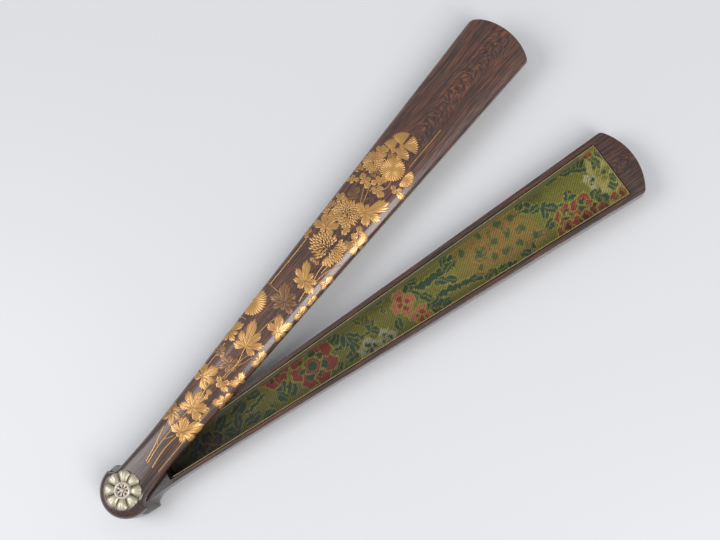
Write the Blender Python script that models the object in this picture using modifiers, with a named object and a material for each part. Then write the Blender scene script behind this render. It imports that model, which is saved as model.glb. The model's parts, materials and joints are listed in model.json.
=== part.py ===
"""Case in the shape of a closed folding fan: a lined tray, a domed lid that swings on one rivet.

Lengths are in metres. The pieces are drawn with the rivet's axis at x = 0 and the tray's
underside at z = 0, and hang from an empty that puts the middle of the tray at the world origin.
"""
import math

import bmesh
import bpy
from mathutils import Vector

# Plan of the case
CASE_LENGTH = 0.300
HUB_RADIUS = 0.0135
TIP_X = CASE_LENGTH - HUB_RADIUS
TIP_ARC_RADIUS = 0.030
NECK_HALF_WIDTH = 0.0083
SIDE_SLOPE = 0.0338
CUSP_X = 0.0005
SCOOP_END_X = 0.0075
NECK_FLARE = 0.0012
FLARE_END_X = 0.0300
LID_OPEN_ANGLE = math.radians(17.3)

# Heights
TRAY_HEIGHT = 0.0120
TRAY_FLOOR = 0.0025
BELLY_HEIGHT = 0.0070
BELLY_INSET = 0.0040
PARTING_GAP = 0.0003
LID_BOTTOM = TRAY_HEIGHT + PARTING_GAP
LID_EDGE = 0.0013
LID_CROWN = LID_BOTTOM + 0.0057
HUB_CROWN = LID_BOTTOM + 0.0055
DOME_POWER = 2.4
HUB_DOME_POWER = 5.0

# Foot with two ears under the hub
EAR_X = 0.0065
EAR_HALF_WIDTH = 0.0139
EAR_END_X = 0.0140
FOOT_RADIUS = 0.0138
FOOT_TOP = 0.0022
FOOT_INSET_SHARE = 0.45
FOOT_FADE_X = 0.0400

# Hollow and its lining
HOLLOW_START_X = 0.0205
HOLLOW_END_X = 0.2750
LINING_START_X = 0.0225
RIM_AT_HUB = 0.00175
RIM_SLOPE = 0.0037
GAP = 0.0003
CLOTH = 0.0006
LINING_TOP = 0.0108
RAMP_FOOT_X = 0.2670
RAMP_TOP = 0.0099
TRIM_RADIUS = 0.0003
LID_HOLLOW_SIDE = 0.0014
LID_HOLLOW_CROWN = 0.0035
LID_CLOTH = 0.0005

# Rivet and what is on it
PIN_RADIUS = 0.0009
PIN_HEAD_RADIUS = 0.0020
PIN_BOTTOM = 0.00035
PIN_HEAD_TOP = 0.00095
BUSH_RADIUS = 0.0020
WASHER_RADIUS = 0.0045
LOWER_WASHER_RADIUS = 0.0050
METAL_SHEET = 0.0006
SEAT_HEIGHT = 0.0172
SEAT_RADIUS = 0.0099
PETAL_COUNT = 8
PETAL_TIP_RADIUS = 0.0092
PETAL_VALLEY_RADIUS = 0.0081
PETAL_HEIGHT = 0.0013
RING_OUTER_RADIUS = 0.0042
RING_INNER_RADIUS = 0.0028
RING_HEIGHT = 0.0021
WHEEL_HEIGHT = 0.0010
SPOKE_HALF_WIDTH = 0.0002
BOSS_RADIUS = 0.0012
BOSS_HEIGHT = 0.0014

TURN_STEPS = 32
THROUGH = 0.001


def clear_scene():
    for thing in list(bpy.data.objects):
        bpy.data.objects.remove(thing, do_unlink=True)


def make_collection(name):
    collection = bpy.data.collections.new(name)
    bpy.context.scene.collection.children.link(collection)
    return collection


def make_material(name, color, roughness, metallic=0.0):
    material = bpy.data.materials.new(name)
    material.use_nodes = True
    shader = material.node_tree.nodes["Principled BSDF"]
    shader.inputs["Base Color"].default_value = (*color, 1.0)
    shader.inputs["Roughness"].default_value = roughness
    shader.inputs["Metallic"].default_value = metallic
    return material


def make_empty(name, location, parent=None, turn=0.0):
    empty = bpy.data.objects.new(name, None)
    empty.location = location
    empty.rotation_euler = (0.0, 0.0, turn)
    empty.parent = parent
    PARTS.objects.link(empty)
    return empty


def add_object(name, mesh, parent, material=None, collection=None, smooth=False):
    """Link a mesh as one named piece, or as a cutter when it has no material."""
    thing = bpy.data.objects.new(name, mesh)
    (collection or PARTS).objects.link(thing)
    thing.parent = parent
    if material:
        mesh.materials.append(material)
    if smooth:
        mesh.shade_smooth()
        mesh.set_sharp_from_angle(angle=math.radians(35.0))
    return thing


def loft(name, rings):
    """Closed mesh through rings of equally many points, with a flat cap on each end."""
    shape = bmesh.new()
    loops = [[shape.verts.new(point) for point in ring] for ring in rings]
    for lower, upper in zip(loops, loops[1:]):
        for here in range(len(lower)):
            after = (here + 1) % len(lower)
            shape.faces.new((lower[here], lower[after], upper[after], upper[here]))
    shape.faces.new(reversed(loops[0]))
    shape.faces.new(loops[-1])
    bmesh.ops.recalc_face_normals(shape, faces=shape.faces)
    mesh = bpy.data.meshes.new(name)
    shape.to_mesh(mesh)
    shape.free()
    return mesh


def prism(name, outline, low, high):
    """Upright prism over an outline of (x, y) points."""
    return loft(name, [[(x, y, z) for x, y in outline] for z in (low, high)])


def both_sides(half):
    """Whole outline from its +Y half, which runs from the hub end to the tip on the axis."""
    return half + [(x, -y) for x, y in reversed(half[1:-1])]


def side_half_width(x):
    return NECK_HALF_WIDTH + SIDE_SLOPE * x


def hollow_half_width(x):
    return side_half_width(x) - RIM_AT_HUB - RIM_SLOPE * x


def mix(a, b, share):
    return a + (b - a) * share


def ramp(low, high, value):
    return min(max((value - low) / (high - low), 0.0), 1.0)


def tip_corner():
    """Point where the straight side meets the tip's arc."""
    x = TIP_X
    for _ in range(12):
        x = TIP_X - tip_sagitta(side_half_width(x))
    return x, side_half_width(x)


def tip_sagitta(y):
    return TIP_ARC_RADIUS - math.sqrt(TIP_ARC_RADIUS ** 2 - y ** 2)


def neck_half_width(x):
    """Half width of the neck, which flares towards the hub."""
    return side_half_width(x) + NECK_FLARE * ramp(FLARE_END_X, SCOOP_END_X, x) ** 1.5


def scooped(x, start_x, start_half_width, end_x):
    """Hollow curve that leaves a cusp square to the side and runs into the neck."""
    along = ramp(start_x, end_x, x)
    curve = 1.0 - math.sqrt(1.0 - (1.0 - along) ** 2)
    return mix(neck_half_width(x), start_half_width, curve)


def hub_half_width(x):
    """Half width of the hub's disc up to its cusp, then of the scoop behind the cusp."""
    if x <= CUSP_X:
        return HUB_RADIUS
    return scooped(x, CUSP_X, HUB_RADIUS, SCOOP_END_X)


def ear_half_width(x):
    """Half width of the foot, which reaches a little further before its own ear."""
    if x <= EAR_X:
        return mix(FOOT_RADIUS, EAR_HALF_WIDTH, x / EAR_X)
    return scooped(x, EAR_X, EAR_HALF_WIDTH, EAR_END_X)


HUB_ANGLES = [math.radians(10.0 * step) for step in range(9)]
NECK_STATIONS = [0.0, CUSP_X, 0.0007, 0.0013, 0.0022, 0.0034, 0.0048, EAR_X, 0.0067,
                 SCOOP_END_X, 0.0090, 0.0110, EAR_END_X, 0.0180, 0.0235, FLARE_END_X]
SIDE_STATIONS = [FOOT_FADE_X, 0.080, 0.130, 0.180, 0.230]
TIP_STEPS = 7


def half_outline(foot=0.0):
    """+Y half of the plan; foot goes from 0, the hub's disc, to 1, the foot with its ears."""
    radius = mix(HUB_RADIUS, FOOT_RADIUS, foot)
    points = [(-radius * math.cos(angle), radius * math.sin(angle)) for angle in HUB_ANGLES]
    for x in NECK_STATIONS:
        points.append((x, mix(hub_half_width(x), ear_half_width(x), foot)))
    points += [(x, side_half_width(x)) for x in SIDE_STATIONS]
    corner_y = tip_corner()[1]
    for step in range(TIP_STEPS + 1):
        y = corner_y * math.cos(0.5 * math.pi * step / TIP_STEPS)
        points.append((TIP_X - tip_sagitta(y), y))
    return points


def pull_in(half, inset, share_at_hub=1.0):
    """Move a half outline inwards by inset, and by a share of it round the hub."""
    corner_x, corner_y = tip_corner()
    moved = []
    for x, y in half:
        step = inset * mix(share_at_hub, 1.0, ramp(EAR_END_X, FOOT_FADE_X, x))
        if x < 0.0:
            scale = 1.0 - step / math.hypot(x, y)
            moved.append((x * scale, y * scale))
        elif x >= corner_x:
            moved.append((x - step, y * (1.0 - step / corner_y)))
        else:
            moved.append((x, y - step))
    return moved


def tray_rings():
    heights = [0.0, 0.0003, 0.0010, FOOT_TOP, 0.0040, 0.0055, BELLY_HEIGHT, 0.0095,
               TRAY_HEIGHT - 0.0003, TRAY_HEIGHT]
    rings = []
    for z in heights:
        foot = ramp(TRAY_HEIGHT - 0.0003, FOOT_TOP, z)
        below = ramp(BELLY_HEIGHT, 0.0, z)
        inset = BELLY_INSET * (1.0 - math.sqrt(1.0 - below ** 2))
        if z == TRAY_HEIGHT:
            inset = 0.0002
        half = pull_in(half_outline(foot), inset, FOOT_INSET_SHARE)
        rings.append([(x, y, z) for x, y in both_sides(half)])
    return rings


def dome_ring(angle):
    """Level of the lid: narrower by a superellipse as it rises towards the crown."""
    corner_x = tip_corner()[0]
    rise = math.sin(angle)
    half = []
    for x, y in half_outline():
        along = ramp(HUB_RADIUS, 3.0 * HUB_RADIUS, x)
        narrow = math.cos(angle) ** (2.0 / mix(HUB_DOME_POWER, DOME_POWER, along))
        crown = mix(HUB_CROWN, LID_CROWN, along)
        z = mix(LID_BOTTOM + LID_EDGE, crown, rise)
        if x < 0.0:
            half.append((x * narrow, y * narrow, z))
        elif x >= corner_x:
            tip_x = TIP_X - tip_sagitta(y * narrow) - 0.0010 * (1.0 - math.cos(angle))
            half.append((tip_x, y * narrow, z))
        else:
            half.append((x, y * narrow, z))
    return half + [(x, -y, z) for x, y, z in reversed(half[1:-1])]


def lid_rings():
    bottom = [(x, y, LID_BOTTOM) for x, y in both_sides(half_outline())]
    return [bottom] + [dome_ring(math.radians(angle)) for angle in (0, 12, 25, 38, 50, 61, 71, 79, 85)]


def arch(half_width, drop, steps=12):
    """Arch of (y, z) points under the lid, drop below the hollow's own ceiling."""
    points = []
    for step in range(steps + 1):
        share = math.cos(math.pi * step / steps)
        lift = math.sqrt(max(1.0 - abs(share) ** DOME_POWER, 0.0))
        z = LID_BOTTOM + mix(LID_HOLLOW_SIDE, LID_HOLLOW_CROWN, lift) - drop
        points.append((share * half_width, z))
    return points


def arch_loft(name, x_ends, inset, top_drop, bottom_drop):
    """Arched body along the lid; without a bottom drop it goes down through the lid's edge."""
    rings = []
    for x in x_ends:
        half_width = hollow_half_width(x) - inset
        upper = arch(half_width, top_drop)
        if bottom_drop is None:
            lower = [(-half_width, LID_BOTTOM - THROUGH), (half_width, LID_BOTTOM - THROUGH)]
        else:
            lower = list(reversed(arch(half_width, bottom_drop)))
        rings.append([(x, y, z) for y, z in upper + lower])
    return loft(name, rings)


def turned(name, profile, parent, material=None, collection=None):
    """Turn a closed (radius, height) profile about the rivet's axis."""
    mesh = bpy.data.meshes.new(name)
    count = len(profile)
    closed = profile[0][0] > 0.0
    edges = [(here, (here + 1) % count) for here in range(count if closed else count - 1)]
    mesh.from_pydata([(radius, 0.0, height) for radius, height in profile], edges, [])
    thing = add_object(name, mesh, parent, material, collection)
    screw = thing.modifiers.new("Turn", "SCREW")
    screw.steps = TURN_STEPS
    screw.render_steps = TURN_STEPS
    screw.use_merge_vertices = True
    screw.merge_threshold = 0.00001
    return thing


def tube_profile(inner, outer, low, high):
    return [(outer, high), (outer, low), (inner, low), (inner, high)]


def rod_profile(radius, low, high):
    return [(0.0, high), (radius, high), (radius, low), (0.0, low)]


def cut(target, cutter):
    cutter.hide_render = True
    cutter.display_type = "WIRE"
    boolean = target.modifiers.new(cutter.name, "BOOLEAN")
    boolean.operation = "DIFFERENCE"
    boolean.solver = "EXACT"
    boolean.object = cutter


def cut_round(target, name, radius, low, high, parent):
    cut(target, turned(name, rod_profile(radius, low, high), parent, collection=CUTTERS))


def strip_outline(x_start, x_end, inner, outer, side):
    """Thin strip along one wall of the hollow, between two distances from that wall."""
    corners = [(x_start, outer), (x_end, outer), (x_end, inner), (x_start, inner)]
    return [(x, side * (hollow_half_width(x) - away)) for x, away in corners]


def trapezoid(x_start, x_end, inset):
    corners = [(x_start, -1), (x_end, -1), (x_end, 1), (x_start, 1)]
    return [(x, side * (hollow_half_width(x) - inset)) for x, side in corners]


def across(name, profile, half_width):
    """Body with a constant (x, z) profile, laid across the tray."""
    return loft(name, [[(x, y, z) for x, z in profile] for y in (-half_width, half_width)])


def rod_between(name, start, end, parent, material):
    """Thin round rod between two points."""
    curve = bpy.data.curves.new(name, "CURVE")
    curve.dimensions = "3D"
    curve.bevel_depth = TRIM_RADIUS
    curve.bevel_resolution = 2
    curve.use_fill_caps = True
    spline = curve.splines.new("POLY")
    spline.points.add(1)
    spline.points[0].co = (*start, 1.0)
    spline.points[1].co = (*end, 1.0)
    curve.materials.append(material)
    thing = bpy.data.objects.new(name, curve)
    thing.parent = parent
    PARTS.objects.link(thing)
    return thing


def flat_plate(name, outlines, low, high, parent, material):
    """Plate from closed outlines, where those inside the first are holes."""
    curve = bpy.data.curves.new(name, "CURVE")
    curve.dimensions = "2D"
    curve.fill_mode = "BOTH"
    curve.extrude = 0.5 * (high - low)
    for outline in outlines:
        spline = curve.splines.new("POLY")
        spline.points.add(len(outline) - 1)
        for point, (x, y) in zip(spline.points, outline):
            point.co = (x, y, 0.0, 1.0)
        spline.use_cyclic_u = True
    curve.materials.append(material)
    thing = bpy.data.objects.new(name, curve)
    thing.location = (0.0, 0.0, 0.5 * (low + high))
    thing.parent = parent
    PARTS.objects.link(thing)
    return thing


def circle(radius, steps=TURN_STEPS):
    turns = [2.0 * math.pi * step / steps for step in range(steps)]
    return [(radius * math.cos(turn), radius * math.sin(turn)) for turn in turns]


def make_tray(parent):
    tray = add_object("tray_shell", loft("tray_shell", tray_rings()), parent, WOOD, smooth=True)
    outline = trapezoid(HOLLOW_START_X, HOLLOW_END_X, 0.0)
    hollow = prism("tray_hollow", outline, TRAY_FLOOR, TRAY_HEIGHT + THROUGH)
    cut(tray, add_object("tray_hollow", hollow, parent, collection=CUTTERS))
    bore = BUSH_RADIUS + GAP
    cut_round(tray, "tray_bore", bore, -THROUGH, TRAY_HEIGHT + THROUGH, parent)
    recess_low = TRAY_HEIGHT - METAL_SHEET
    cut_round(tray, "tray_recess", WASHER_RADIUS + GAP, recess_low, TRAY_HEIGHT + THROUGH, parent)
    under_top = PIN_HEAD_TOP + 2.0 * GAP + METAL_SHEET
    cut_round(tray, "tray_under_recess", LOWER_WASHER_RADIUS + GAP, -THROUGH, under_top, parent)


def make_tray_lining(parent):
    floor_low = TRAY_FLOOR + GAP
    floor_high = floor_low + CLOTH
    outline = trapezoid(LINING_START_X, HOLLOW_END_X - GAP, GAP)
    floor = prism("tray_floor_lining", outline, floor_low, floor_high)
    add_object("tray_floor_lining", floor, parent, BROCADE)
    for side, word in ((1, "left"), (-1, "right")):
        x_end = HOLLOW_END_X - GAP
        strip = strip_outline(LINING_START_X, x_end, GAP + CLOTH, GAP, side)
        name = "tray_side_lining_" + word
        add_object(name, prism(name, strip, floor_high + GAP, LINING_TOP), parent, BROCADE)
        trim_z = LINING_TOP + GAP + TRIM_RADIUS
        away = GAP + 0.5 * CLOTH
        ends = [(x, side * (hollow_half_width(x) - away), trim_z) for x in (LINING_START_X, x_end)]
        rod_between("tray_edge_trim_" + word, ends[0], ends[1], parent, GILT)
    make_ramp(parent, floor_high + GAP)


def make_ramp(parent, foot_z):
    """Wedge at the tip end of the hollow, the cloth on its slope and the thread on its edge."""
    wall_x = HOLLOW_END_X - GAP
    half_width = hollow_half_width(RAMP_FOOT_X) - 2.0 * GAP - CLOTH
    wedge = [(RAMP_FOOT_X, foot_z), (wall_x, foot_z), (wall_x, RAMP_TOP)]
    add_object("ramp_wedge", across("ramp_wedge", wedge, half_width), parent, CARD)
    slope = Vector((wall_x - RAMP_FOOT_X, RAMP_TOP - foot_z)).normalized()
    away = Vector((-slope.y, slope.x))
    foot = Vector((RAMP_FOOT_X, foot_z))
    low = foot + away * GAP
    high = foot + away * (GAP + CLOTH)
    reach = (wall_x - low.x) / slope.x
    sheet = [low, low + slope * reach, high + slope * reach, high]
    profile = [(point.x, point.y) for point in sheet]
    add_object("tray_end_lining", across("tray_end_lining", profile, half_width), parent, BROCADE)
    trim_x = wall_x - TRIM_RADIUS
    trim_z = low.y + slope.y * reach + CLOTH / slope.x + GAP + TRIM_RADIUS
    ends = [(trim_x, side * (half_width - GAP), trim_z) for side in (-1, 1)]
    rod_between("tray_edge_trim_end", ends[0], ends[1], parent, GILT)


def make_lid(parent):
    lid = add_object("lid_shell", loft("lid_shell", lid_rings()), parent, WOOD, smooth=True)
    ends = (HOLLOW_START_X, HOLLOW_END_X)
    hollow = arch_loft("lid_hollow", ends, 0.0, 0.0, None)
    cut(lid, add_object("lid_hollow", hollow, parent, collection=CUTTERS))
    cut_round(lid, "lid_bore", BUSH_RADIUS + GAP, LID_BOTTOM - THROUGH, LID_CROWN + THROUGH, parent)
    recess_high = LID_BOTTOM + GAP
    cut_round(lid, "lid_recess", WASHER_RADIUS + GAP, LID_BOTTOM - THROUGH, recess_high, parent)
    cut_round(lid, "lid_seat", SEAT_RADIUS, SEAT_HEIGHT, LID_CROWN + THROUGH, parent)
    lining_ends = (LINING_START_X, HOLLOW_END_X - GAP)
    lining = arch_loft("lid_lining", lining_ends, GAP, GAP, GAP + LID_CLOTH)
    add_object("lid_lining", lining, parent, BROCADE)


def make_rivet(tray_frame, lid_frame):
    """Pin, bushes and washers; the pin stays in the tray and the lid turns on it."""
    bore = PIN_RADIUS + GAP
    pin = [(0.0, SEAT_HEIGHT + WHEEL_HEIGHT), (PIN_RADIUS, SEAT_HEIGHT + WHEEL_HEIGHT),
           (PIN_RADIUS, PIN_HEAD_TOP), (PIN_HEAD_RADIUS, PIN_HEAD_TOP),
           (PIN_HEAD_RADIUS, PIN_BOTTOM), (0.0, PIN_BOTTOM)]
    turned("pivot_pin", pin, tray_frame, STEEL)
    low = PIN_HEAD_TOP + GAP
    plate = tube_profile(bore, LOWER_WASHER_RADIUS, low, low + METAL_SHEET)
    turned("lower_washer", plate, tray_frame, SILVER)
    low += METAL_SHEET + 2.0 * GAP
    high = TRAY_HEIGHT - METAL_SHEET - GAP
    turned("tray_bush", tube_profile(bore, BUSH_RADIUS, low, high), tray_frame, BRASS)
    low = TRAY_HEIGHT - GAP
    plate = tube_profile(bore, WASHER_RADIUS, low, low + METAL_SHEET)
    turned("hub_washer", plate, tray_frame, BRASS)
    low += METAL_SHEET + 2.0 * GAP
    turned("lid_bush", tube_profile(bore, BUSH_RADIUS, low, SEAT_HEIGHT), lid_frame, BRASS)


def petal_outline():
    """Outline of the flower: one lobe for each petal."""
    points = []
    for step in range(PETAL_COUNT * 8):
        turn = 2.0 * math.pi * step / (PETAL_COUNT * 8)
        lobe = abs(math.cos(0.5 * PETAL_COUNT * turn)) ** 0.7
        radius = mix(PETAL_VALLEY_RADIUS, PETAL_TIP_RADIUS, lobe)
        points.append((radius * math.cos(turn), radius * math.sin(turn)))
    return points


def wheel_cell(number):
    """Opening between two spokes."""
    middle = 2.0 * math.pi * (number + 0.5) / PETAL_COUNT
    inner = PIN_RADIUS + 2.0 * GAP
    outer = RING_INNER_RADIUS - 2.0 * GAP
    points = []
    for radius, side in ((inner, -1), (outer, -1), (outer, 1), (inner, 1)):
        turn = middle + side * (math.pi / PETAL_COUNT - math.asin(SPOKE_HALF_WIDTH / radius))
        points.append((radius * math.cos(turn), radius * math.sin(turn)))
    return points


def make_rosette(tray_frame, lid_frame):
    """Flower on the lid's hub, its collar and wheel, and the rivet's domed cap."""
    base = SEAT_HEIGHT + GAP
    hole = list(reversed(circle(RING_OUTER_RADIUS + GAP)))
    flat_plate("rosette_petals", [petal_outline(), hole], base, base + PETAL_HEIGHT, lid_frame,
               SILVER)
    top = base + RING_HEIGHT
    middle = 0.5 * (RING_INNER_RADIUS + RING_OUTER_RADIUS)
    collar = [(middle, top), (RING_OUTER_RADIUS, top - 2.0 * GAP), (RING_OUTER_RADIUS, base),
              (RING_INNER_RADIUS, base), (RING_INNER_RADIUS, top - 2.0 * GAP)]
    turned("rosette_ring", collar, lid_frame, SILVER)
    cells = [wheel_cell(number) for number in range(PETAL_COUNT)]
    centre = circle(PIN_RADIUS + GAP, 16)
    outer = circle(RING_INNER_RADIUS - GAP)
    flat_plate("rosette_wheel", [outer, centre] + cells, base, base + WHEEL_HEIGHT, lid_frame,
               SILVER)
    low = base + WHEEL_HEIGHT + GAP
    turns = [math.radians(18.0 * step) for step in range(6)]
    cap = [(BOSS_RADIUS * math.sin(turn), low + BOSS_HEIGHT * math.cos(turn)) for turn in turns]
    turned("rosette_boss", cap + [(0.0, low)], tray_frame, SILVER)


clear_scene()
PARTS = make_collection("fan_case")
CUTTERS = make_collection("fan_case_cutters")
WOOD = make_material("dark_figured_wood", (0.075, 0.040, 0.030), 0.25)
BROCADE = make_material("green_brocade", (0.16, 0.18, 0.03), 0.75)
GILT = make_material("gilt_thread", (0.55, 0.42, 0.20), 0.45)
CARD = make_material("lining_card", (0.45, 0.38, 0.28), 0.9)
STEEL = make_material("rivet_steel", (0.55, 0.55, 0.56), 0.3, 1.0)
BRASS = make_material("bush_brass", (0.72, 0.53, 0.25), 0.35, 1.0)
SILVER = make_material("patinated_silver", (0.62, 0.60, 0.48), 0.35, 1.0)

case_frame = make_empty("case_frame", (-0.5 * CASE_LENGTH + HUB_RADIUS, 0.0, 0.0))
lid_frame = make_empty("lid_hinge", (0.0, 0.0, 0.0), case_frame, LID_OPEN_ANGLE)
make_tray(case_frame)
make_tray_lining(case_frame)
make_lid(lid_frame)
make_rivet(case_frame, lid_frame)
make_rosette(case_frame, lid_frame)
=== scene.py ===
"""Case in the shape of a closed folding fan: dark figured wood, raised gold flowers on the
lid, a green brocade lining in the tray and a silver flower on the rivet.

Shapes are drawn in millimetres with the rivet's axis at x = 0, the tray's underside at
z = 0 and +x towards the tip, and are put in place, in metres, when their mesh is made.
"""

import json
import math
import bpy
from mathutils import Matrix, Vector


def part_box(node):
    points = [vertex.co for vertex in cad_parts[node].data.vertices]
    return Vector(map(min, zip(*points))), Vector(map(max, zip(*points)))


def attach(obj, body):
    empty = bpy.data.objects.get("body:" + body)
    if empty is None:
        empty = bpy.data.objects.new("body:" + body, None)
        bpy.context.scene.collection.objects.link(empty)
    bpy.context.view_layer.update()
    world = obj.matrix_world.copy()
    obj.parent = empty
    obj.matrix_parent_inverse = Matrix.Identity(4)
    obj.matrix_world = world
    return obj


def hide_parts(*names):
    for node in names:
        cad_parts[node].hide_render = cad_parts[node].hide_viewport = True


bl_info = {
    "name": "Fan Case",
    "version": (1, 0, 0),
    "blender": (4, 5, 0),
    "location": "View3D > Sidebar > Fan Case",
    "description": "Builds a lacquered case in the shape of a closed folding fan",
    "category": "Add Mesh",
}

import bmesh
import bpy
import numpy as np
from bpy.props import FloatProperty, FloatVectorProperty, IntProperty, PointerProperty
from mathutils import Matrix, Vector

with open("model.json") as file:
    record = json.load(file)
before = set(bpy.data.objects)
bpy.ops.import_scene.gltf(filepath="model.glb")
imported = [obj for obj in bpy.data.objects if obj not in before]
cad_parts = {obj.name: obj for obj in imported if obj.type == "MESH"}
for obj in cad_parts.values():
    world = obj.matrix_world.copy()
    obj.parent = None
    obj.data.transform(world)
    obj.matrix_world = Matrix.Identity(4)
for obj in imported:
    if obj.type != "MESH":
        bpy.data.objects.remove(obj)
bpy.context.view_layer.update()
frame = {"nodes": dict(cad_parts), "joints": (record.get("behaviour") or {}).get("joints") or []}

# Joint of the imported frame
SWING = frame["joints"][0]
PIN_X = SWING["pos_m"][0]
LID_TURN = -math.radians(SWING["range_deg"][0])
MM = 0.001
MERGE_DISTANCE, FLAT_DISTANCE = 2e-6, 1e-7

# Plan of the case, millimetres
HUB_RADIUS = 13.5
TIP_X = 286.5
TIP_ARC = 30.0
NECK_HALF_WIDTH = 8.3
SIDE_SLOPE = 0.0338
CUSP_X, SCOOP_END_X = 0.5, 7.5
NECK_FLARE, FLARE_END_X = 1.2, 30.0
EAR_X, EAR_HALF_WIDTH, EAR_END_X = 6.5, 13.9, 14.0
FOOT_RADIUS = 13.8
FOOT_FADE_X = 40.0
FOOT_INSET_SHARE = 0.45
CORNER_ROUND = 1.5

# Heights, millimetres
TRAY_FLOOR = 2.5
TRAY_TOP = 12.0
FOOT_TOP = 2.2
BELLY_TOP, BELLY_INSET = 7.0, 4.0
LID_BOTTOM = 12.3
LID_EDGE = 13.6
LID_CROWN, HUB_CROWN = 18.0, 17.8
DOME_POWER, HUB_DOME_POWER = 2.4, 5.0
SEAT_HEIGHT, SEAT_RADIUS = 17.2, 9.4
BORE_RADIUS, BUSH_RECESS_RADIUS, WASHER_RECESS_RADIUS = 2.3, 4.8, 5.3
TRAY_RECESS_FLOOR, LID_RECESS_TOP, WASHER_RECESS_TOP = 11.4, 12.6, 2.15
ROSETTE_BASE, PETAL_BASE = 17.5, 17.75
PETAL_INNER, PETAL_RIM = 4.15, 9.40
SPOKE_BASE = 17.52

# Hollow and lining, millimetres
HOLLOW_START, HOLLOW_END = 20.5, 275.0
LINING_START, LINING_END = 22.5, 274.7
CLOTH_START = 20.9
CLOTH_INSET, CLOTH_THICKNESS, CLOTH_BEND = 0.9, 0.45, 0.8
EDGE_ROOM, CLOTH_LOWEST = 0.34, 2.85
LINING_TOP = 10.8
CLOTH_TOP = 3.4
RAMP_START, RAMP_SLOPE = 265.19, 0.805
LID_HOLLOW_SIDE, LID_HOLLOW_CROWN = 1.4, 3.5


# ---------------------------------------------------------------- numbers and shapes

def mix(a, b, share):
    return a + (b - a) * share


def ramp(low, high, value):
    return np.clip((value - low) / (high - low), 0.0, 1.0)


def smooth(low, high, value):
    share = ramp(low, high, value)
    return share * share * (3.0 - 2.0 * share)


def side_half_width(x):
    return NECK_HALF_WIDTH + SIDE_SLOPE * x


def hollow_half_width(x):
    return side_half_width(x) - 1.75 - 0.0037 * x


def tip_sagitta(y):
    return TIP_ARC - np.sqrt(TIP_ARC ** 2 - y ** 2)


def tip_corner():
    x = TIP_X
    for _ in range(12):
        x = TIP_X - tip_sagitta(side_half_width(x))
    return float(x), float(side_half_width(x))


CORNER_X, CORNER_Y = tip_corner()
SIDE_END_X = CORNER_X - CORNER_ROUND
SHORTEN_FROM_X = 200.0


def neck_half_width(x):
    """Half width of the neck, which flares towards the hub."""
    return side_half_width(x) + NECK_FLARE * ramp(FLARE_END_X, SCOOP_END_X, x) ** 1.5


def scooped(x, start_x, start_half_width, end_x):
    """Hollow curve that leaves a cusp square to the side and runs into the neck."""
    curve = 1.0 - np.sqrt(1.0 - (1.0 - ramp(start_x, end_x, x)) ** 2)
    return mix(neck_half_width(x), start_half_width, curve)


def hub_half_width(x):
    return np.where(x <= CUSP_X, HUB_RADIUS, scooped(x, CUSP_X, HUB_RADIUS, SCOOP_END_X))


def foot_half_width(x):
    bell = mix(FOOT_RADIUS, EAR_HALF_WIDTH, x / EAR_X)
    return np.where(x <= EAR_X, bell, scooped(x, EAR_X, EAR_HALF_WIDTH, EAR_END_X))


HUB_STATIONS = [0.25, 0.5, 0.52, 0.58, 0.7, 0.9, 1.2, 1.6, 2.1, 2.7, 3.4, 4.2, 5.1, 6.0, 6.5, 6.52, 6.58, 6.7,
                6.95, 7.25, 7.5, 7.9, 8.4, 9.0, 9.7, 10.5, 11.4, 12.4, 13.4, 14.0, 15.0, 16.5, 18.0, 20.0,
                22.0, 24.0, 26.0, 28.0, 30.0, 33.0, 36.0]


def half_outline(foot=0.0):
    """+y half of the plan as rows of (x, y), from the hub end to the tip."""
    turns = np.radians(np.arange(0.0, 90.1, 3.0))
    radius = mix(HUB_RADIUS, FOOT_RADIUS, foot)
    hub = np.c_[-radius * np.cos(turns), radius * np.sin(turns)]
    xs = np.array(HUB_STATIONS)
    neck = np.c_[xs, mix(hub_half_width(xs), foot_half_width(xs), foot)]
    xs = np.linspace(FOOT_FADE_X, SIDE_END_X, 64)
    side = np.c_[xs, side_half_width(xs)]
    arc_y = CORNER_Y - CORNER_ROUND * 0.85
    before, corner = side[-1], np.array([CORNER_X, CORNER_Y])
    after = np.array([TIP_X - tip_sagitta(arc_y), arc_y])
    shares = np.linspace(0.0, 1.0, 8)[1:-1, None]
    fillet = (1 - shares) ** 2 * before + 2 * shares * (1 - shares) * corner + shares ** 2 * after
    ys = np.linspace(arc_y, 0.0, 26)
    tip = np.c_[TIP_X - tip_sagitta(ys), ys]
    return np.vstack([hub, neck, side, fillet, tip])


def both_sides(half, z):
    rows = np.c_[half, np.broadcast_to(z, len(half))]
    return np.vstack([rows, rows[-2:0:-1] * (1.0, -1.0, 1.0)])


def tray_ring(z):
    """Level of the tray: the foot flares below and the edges draw in at the bottom and the top."""
    foot = float(ramp(TRAY_TOP - 0.3, FOOT_TOP, z))
    below = float(ramp(BELLY_TOP, 0.0, z))
    inset = BELLY_INSET * (1.0 - math.sqrt(1.0 - below ** 2))
    edge = float(ramp(TRAY_TOP - 0.3, TRAY_TOP, z))
    inset += 0.3 * (1.0 - math.sqrt(1.0 - edge ** 2))
    half = half_outline(foot)
    x, y = half[:, 0].copy(), half[:, 1].copy()
    step = inset * mix(FOOT_INSET_SHARE, 1.0, ramp(EAR_END_X, FOOT_FADE_X, x))
    at_hub, at_tip = x < 0.0, x >= SIDE_END_X
    reach = np.hypot(x, y)
    side_x = x - step * ramp(SHORTEN_FROM_X, SIDE_END_X, x)
    new_x = np.where(at_hub, x * (1.0 - step / reach), np.where(at_tip, x - step, side_x))
    tip_y = y * (1.0 - step / CORNER_Y)
    new_y = np.where(at_hub, y * (1.0 - step / reach), np.where(at_tip, tip_y, y - step))
    return both_sides(np.c_[new_x, new_y], z)


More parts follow.
